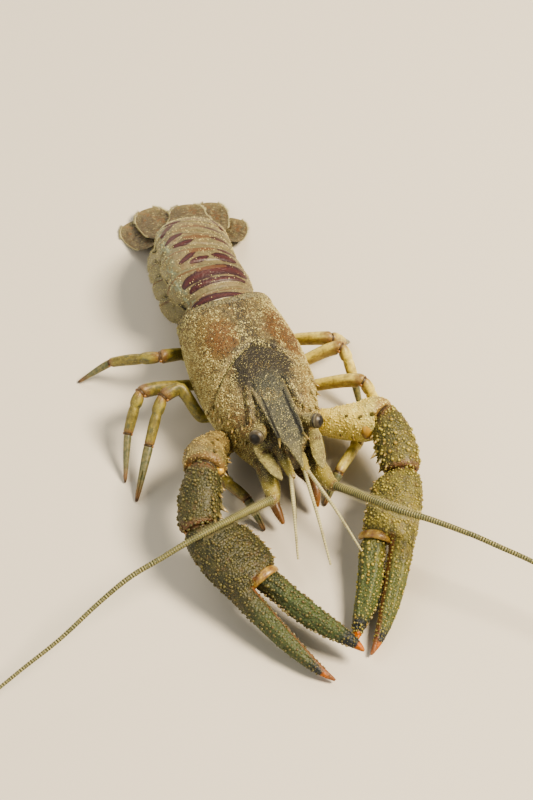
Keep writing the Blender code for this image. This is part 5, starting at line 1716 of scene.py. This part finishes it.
for kind, mould, most, gap, small, large, seed in (
        ("cream", GRIT, 23000, 0.25, 0.06, 0.14, 11), ("lump", GRAIN, 7000, 0.34, 0.11, 0.24, 14),
        ("gold", GRIT, 20000, 0.27, 0.07, 0.15, 12), ("dark", GRIT, 9000, 0.36, 0.07, 0.15, 13)):
    at, out, home = sow(carapace, gap, seed, silted(kind), 2.6)
    at, out, home = at[:most], out[:most], home[:most]
    sizes = small + (large - small) * draw.random(len(at)) ** 1.8
    silt = spread("back_silt_" + kind, mould, at, out, sizes, home)
    dress(silt, silts["cream" if kind == "lump" else kind], "olive_shell")
    print("silt", kind, len(at))


def upper(home, at, out):
    """Keep grains that face up, in clumps."""
    return (out[:, 2] > 0) & (draw.random(len(at)) < 0.5 + 1.2 * uneven(at, 1.1))


def on_beak(home, at, out):
    """Keep clear of the painted shade lines inside the rims of the beak."""
    line = np.abs(np.abs(home[:, 0] - 0.25) - 2.35) < 0.45
    return upper(home, at, out) & ~line & (draw.random(len(at)) < 0.6)


crusted = [beak, *(p for n, p in head_parts.items() if not n.startswith("mouth")), *stalks.values()]
for n, piece in enumerate(crusted):
    at, out, home = sow(piece, 0.32, 50 + n, on_beak if piece == beak else upper)
    sizes = 0.06 + 0.11 * draw.random(len(at)) ** 2
    dress(spread(piece.name + "_silt", GRAIN, at, out, sizes, home), silts["cream"], "feeler_shell")


def lobes(home, at, out):
    """Keep grains on the side lobes and, thinly, on the pale parts of the back, but off the bands."""
    side = np.clip((np.abs(home[:, 0]) - 8.5) / 4, 0, 1)
    number_of = int(round(home[0, 2] / RING_MARK))
    clear = 1 - np.clip(lined(number_of, home[:, 0], home[:, 1], BANDS) * 3, 0, 0.93)
    front = 0.25 * (home[:, 1] < 4) * (number_of == 1)
    chance = (0.1 + front + 0.9 * side + 1.1 * uneven(at, 1)) * clear
    return (draw.random(len(at)) < chance) & (out[:, 2] > -0.7) & (home[:, 1] > 1.4)


for k, ring in enumerate(tail_rings):
    at, out, home = sow(ring, 0.34, 70 + k, lobes)
    sizes = 0.06 + 0.13 * draw.random(len(at)) ** 2
    dress(spread(ring.name + "_silt", GRAIN, at, out, sizes, home), silts["cream"], "tail_shell")

# %% Bristles on the fan, the lobes, the feelers, the legs and the mouth
bristle = begin("bristle", "#8f8864", 0.5)
lay("#cdc9a4", noted("lift"), 0, 1)
hair_roots, hair_tips = [], []


def fringe(path, table, first, last, gap, long, sweep=0.5):
    """Bristles along the edges of a flat limb, leaning toward its tip."""
    shares, widths = zip(*(row[:2] for row in table))
    roots, tips = [], []
    for share in np.arange(first, last, gap / path["long"]):
        along = share * path["long"]
        close = np.clip((share - 0.8) / 0.2, 0, 1)
        for side in (-1, 1):
            edge = side * np.interp(share, shares, widths) * 0.97
            reach = long * draw.uniform(0.6, 1.1)
            roots.append((edge, 0, along))
            tips.append((edge + side * reach * (1 - 0.6 * close), reach * draw.uniform(-0.15, 0.15),
                         along + reach * (sweep + 0.6 * close)))
    hair_roots.append(bend(roots, path))
    hair_tips.append(bend(tips, path))


def tufts(piece, spacing, seed, keep, droop, shortest, longest, scatter=0):
    """Bristles that stand on a piece and droop."""
    at, out, _ = sow(piece, spacing, seed, keep)
    reach = draw.uniform(shortest, longest, len(at))[:, None]
    out = out + droop
    if scatter:
        out = out + draw.normal(0, scatter, out.shape)
    hair_roots.append(at)
    hair_tips.append(at + unit(out) * reach)


for name, path in fan.items():
    fringe(path, fan_tables[name], 0.35, 0.84, 0.12, 0.6)
    fringe(path, fan_tables[name], 0.8, 1, 0.03, 0.8)
for path in near_halves.values():
    fringe(path, ((0, 0.85), (1, 0.6)), 0.01, 0.66, 0.22, 1, 0.7)
for _, ankle, foot in WALKING_LEGS.values():
    fringe(way((ankle, np.array(foot) + (0, 0, 0.4))), ((0, 0.75), (1, 0.35)), 0.1, 0.85, 0.55, 0.5, 0.8)
for k, ring in enumerate(tail_rings[1:]):
    tufts(ring, 0.45, 90 + k, lambda home, at, out: (np.abs(home[:, 0]) > 17.2) & (home[:, 1] > 1.8),
          (0, 0.3, -0.8), 0.4, 0.8, 0.3)
for piece in [*swimmerets, head_parts["mouth_leg_right"], head_parts["mouth_leg_left"]]:
    tufts(piece, 0.5, 95, lambda home, at, out: home[:, 2] > 1.5, (0, 0, -0.6), 0.4, 0.9)
roots, tips = np.concatenate(hair_roots), np.concatenate(hair_tips)
roots[:, 2], tips[:, 2] = np.maximum(roots[:, 2], 0.12), np.maximum(tips[:, 2], 0.12)
long = np.linalg.norm(tips - roots, axis=1)
keep = long > 0.1
thick = np.full(keep.sum(), 0.09)
sizes = np.stack([thick, thick, long[keep]], 1)
bristles = spread("bristles", HAIR, roots[keep], (tips - roots)[keep], sizes)
dress(bristles, bristle, "fan_shell")
print("bristles", keep.sum())
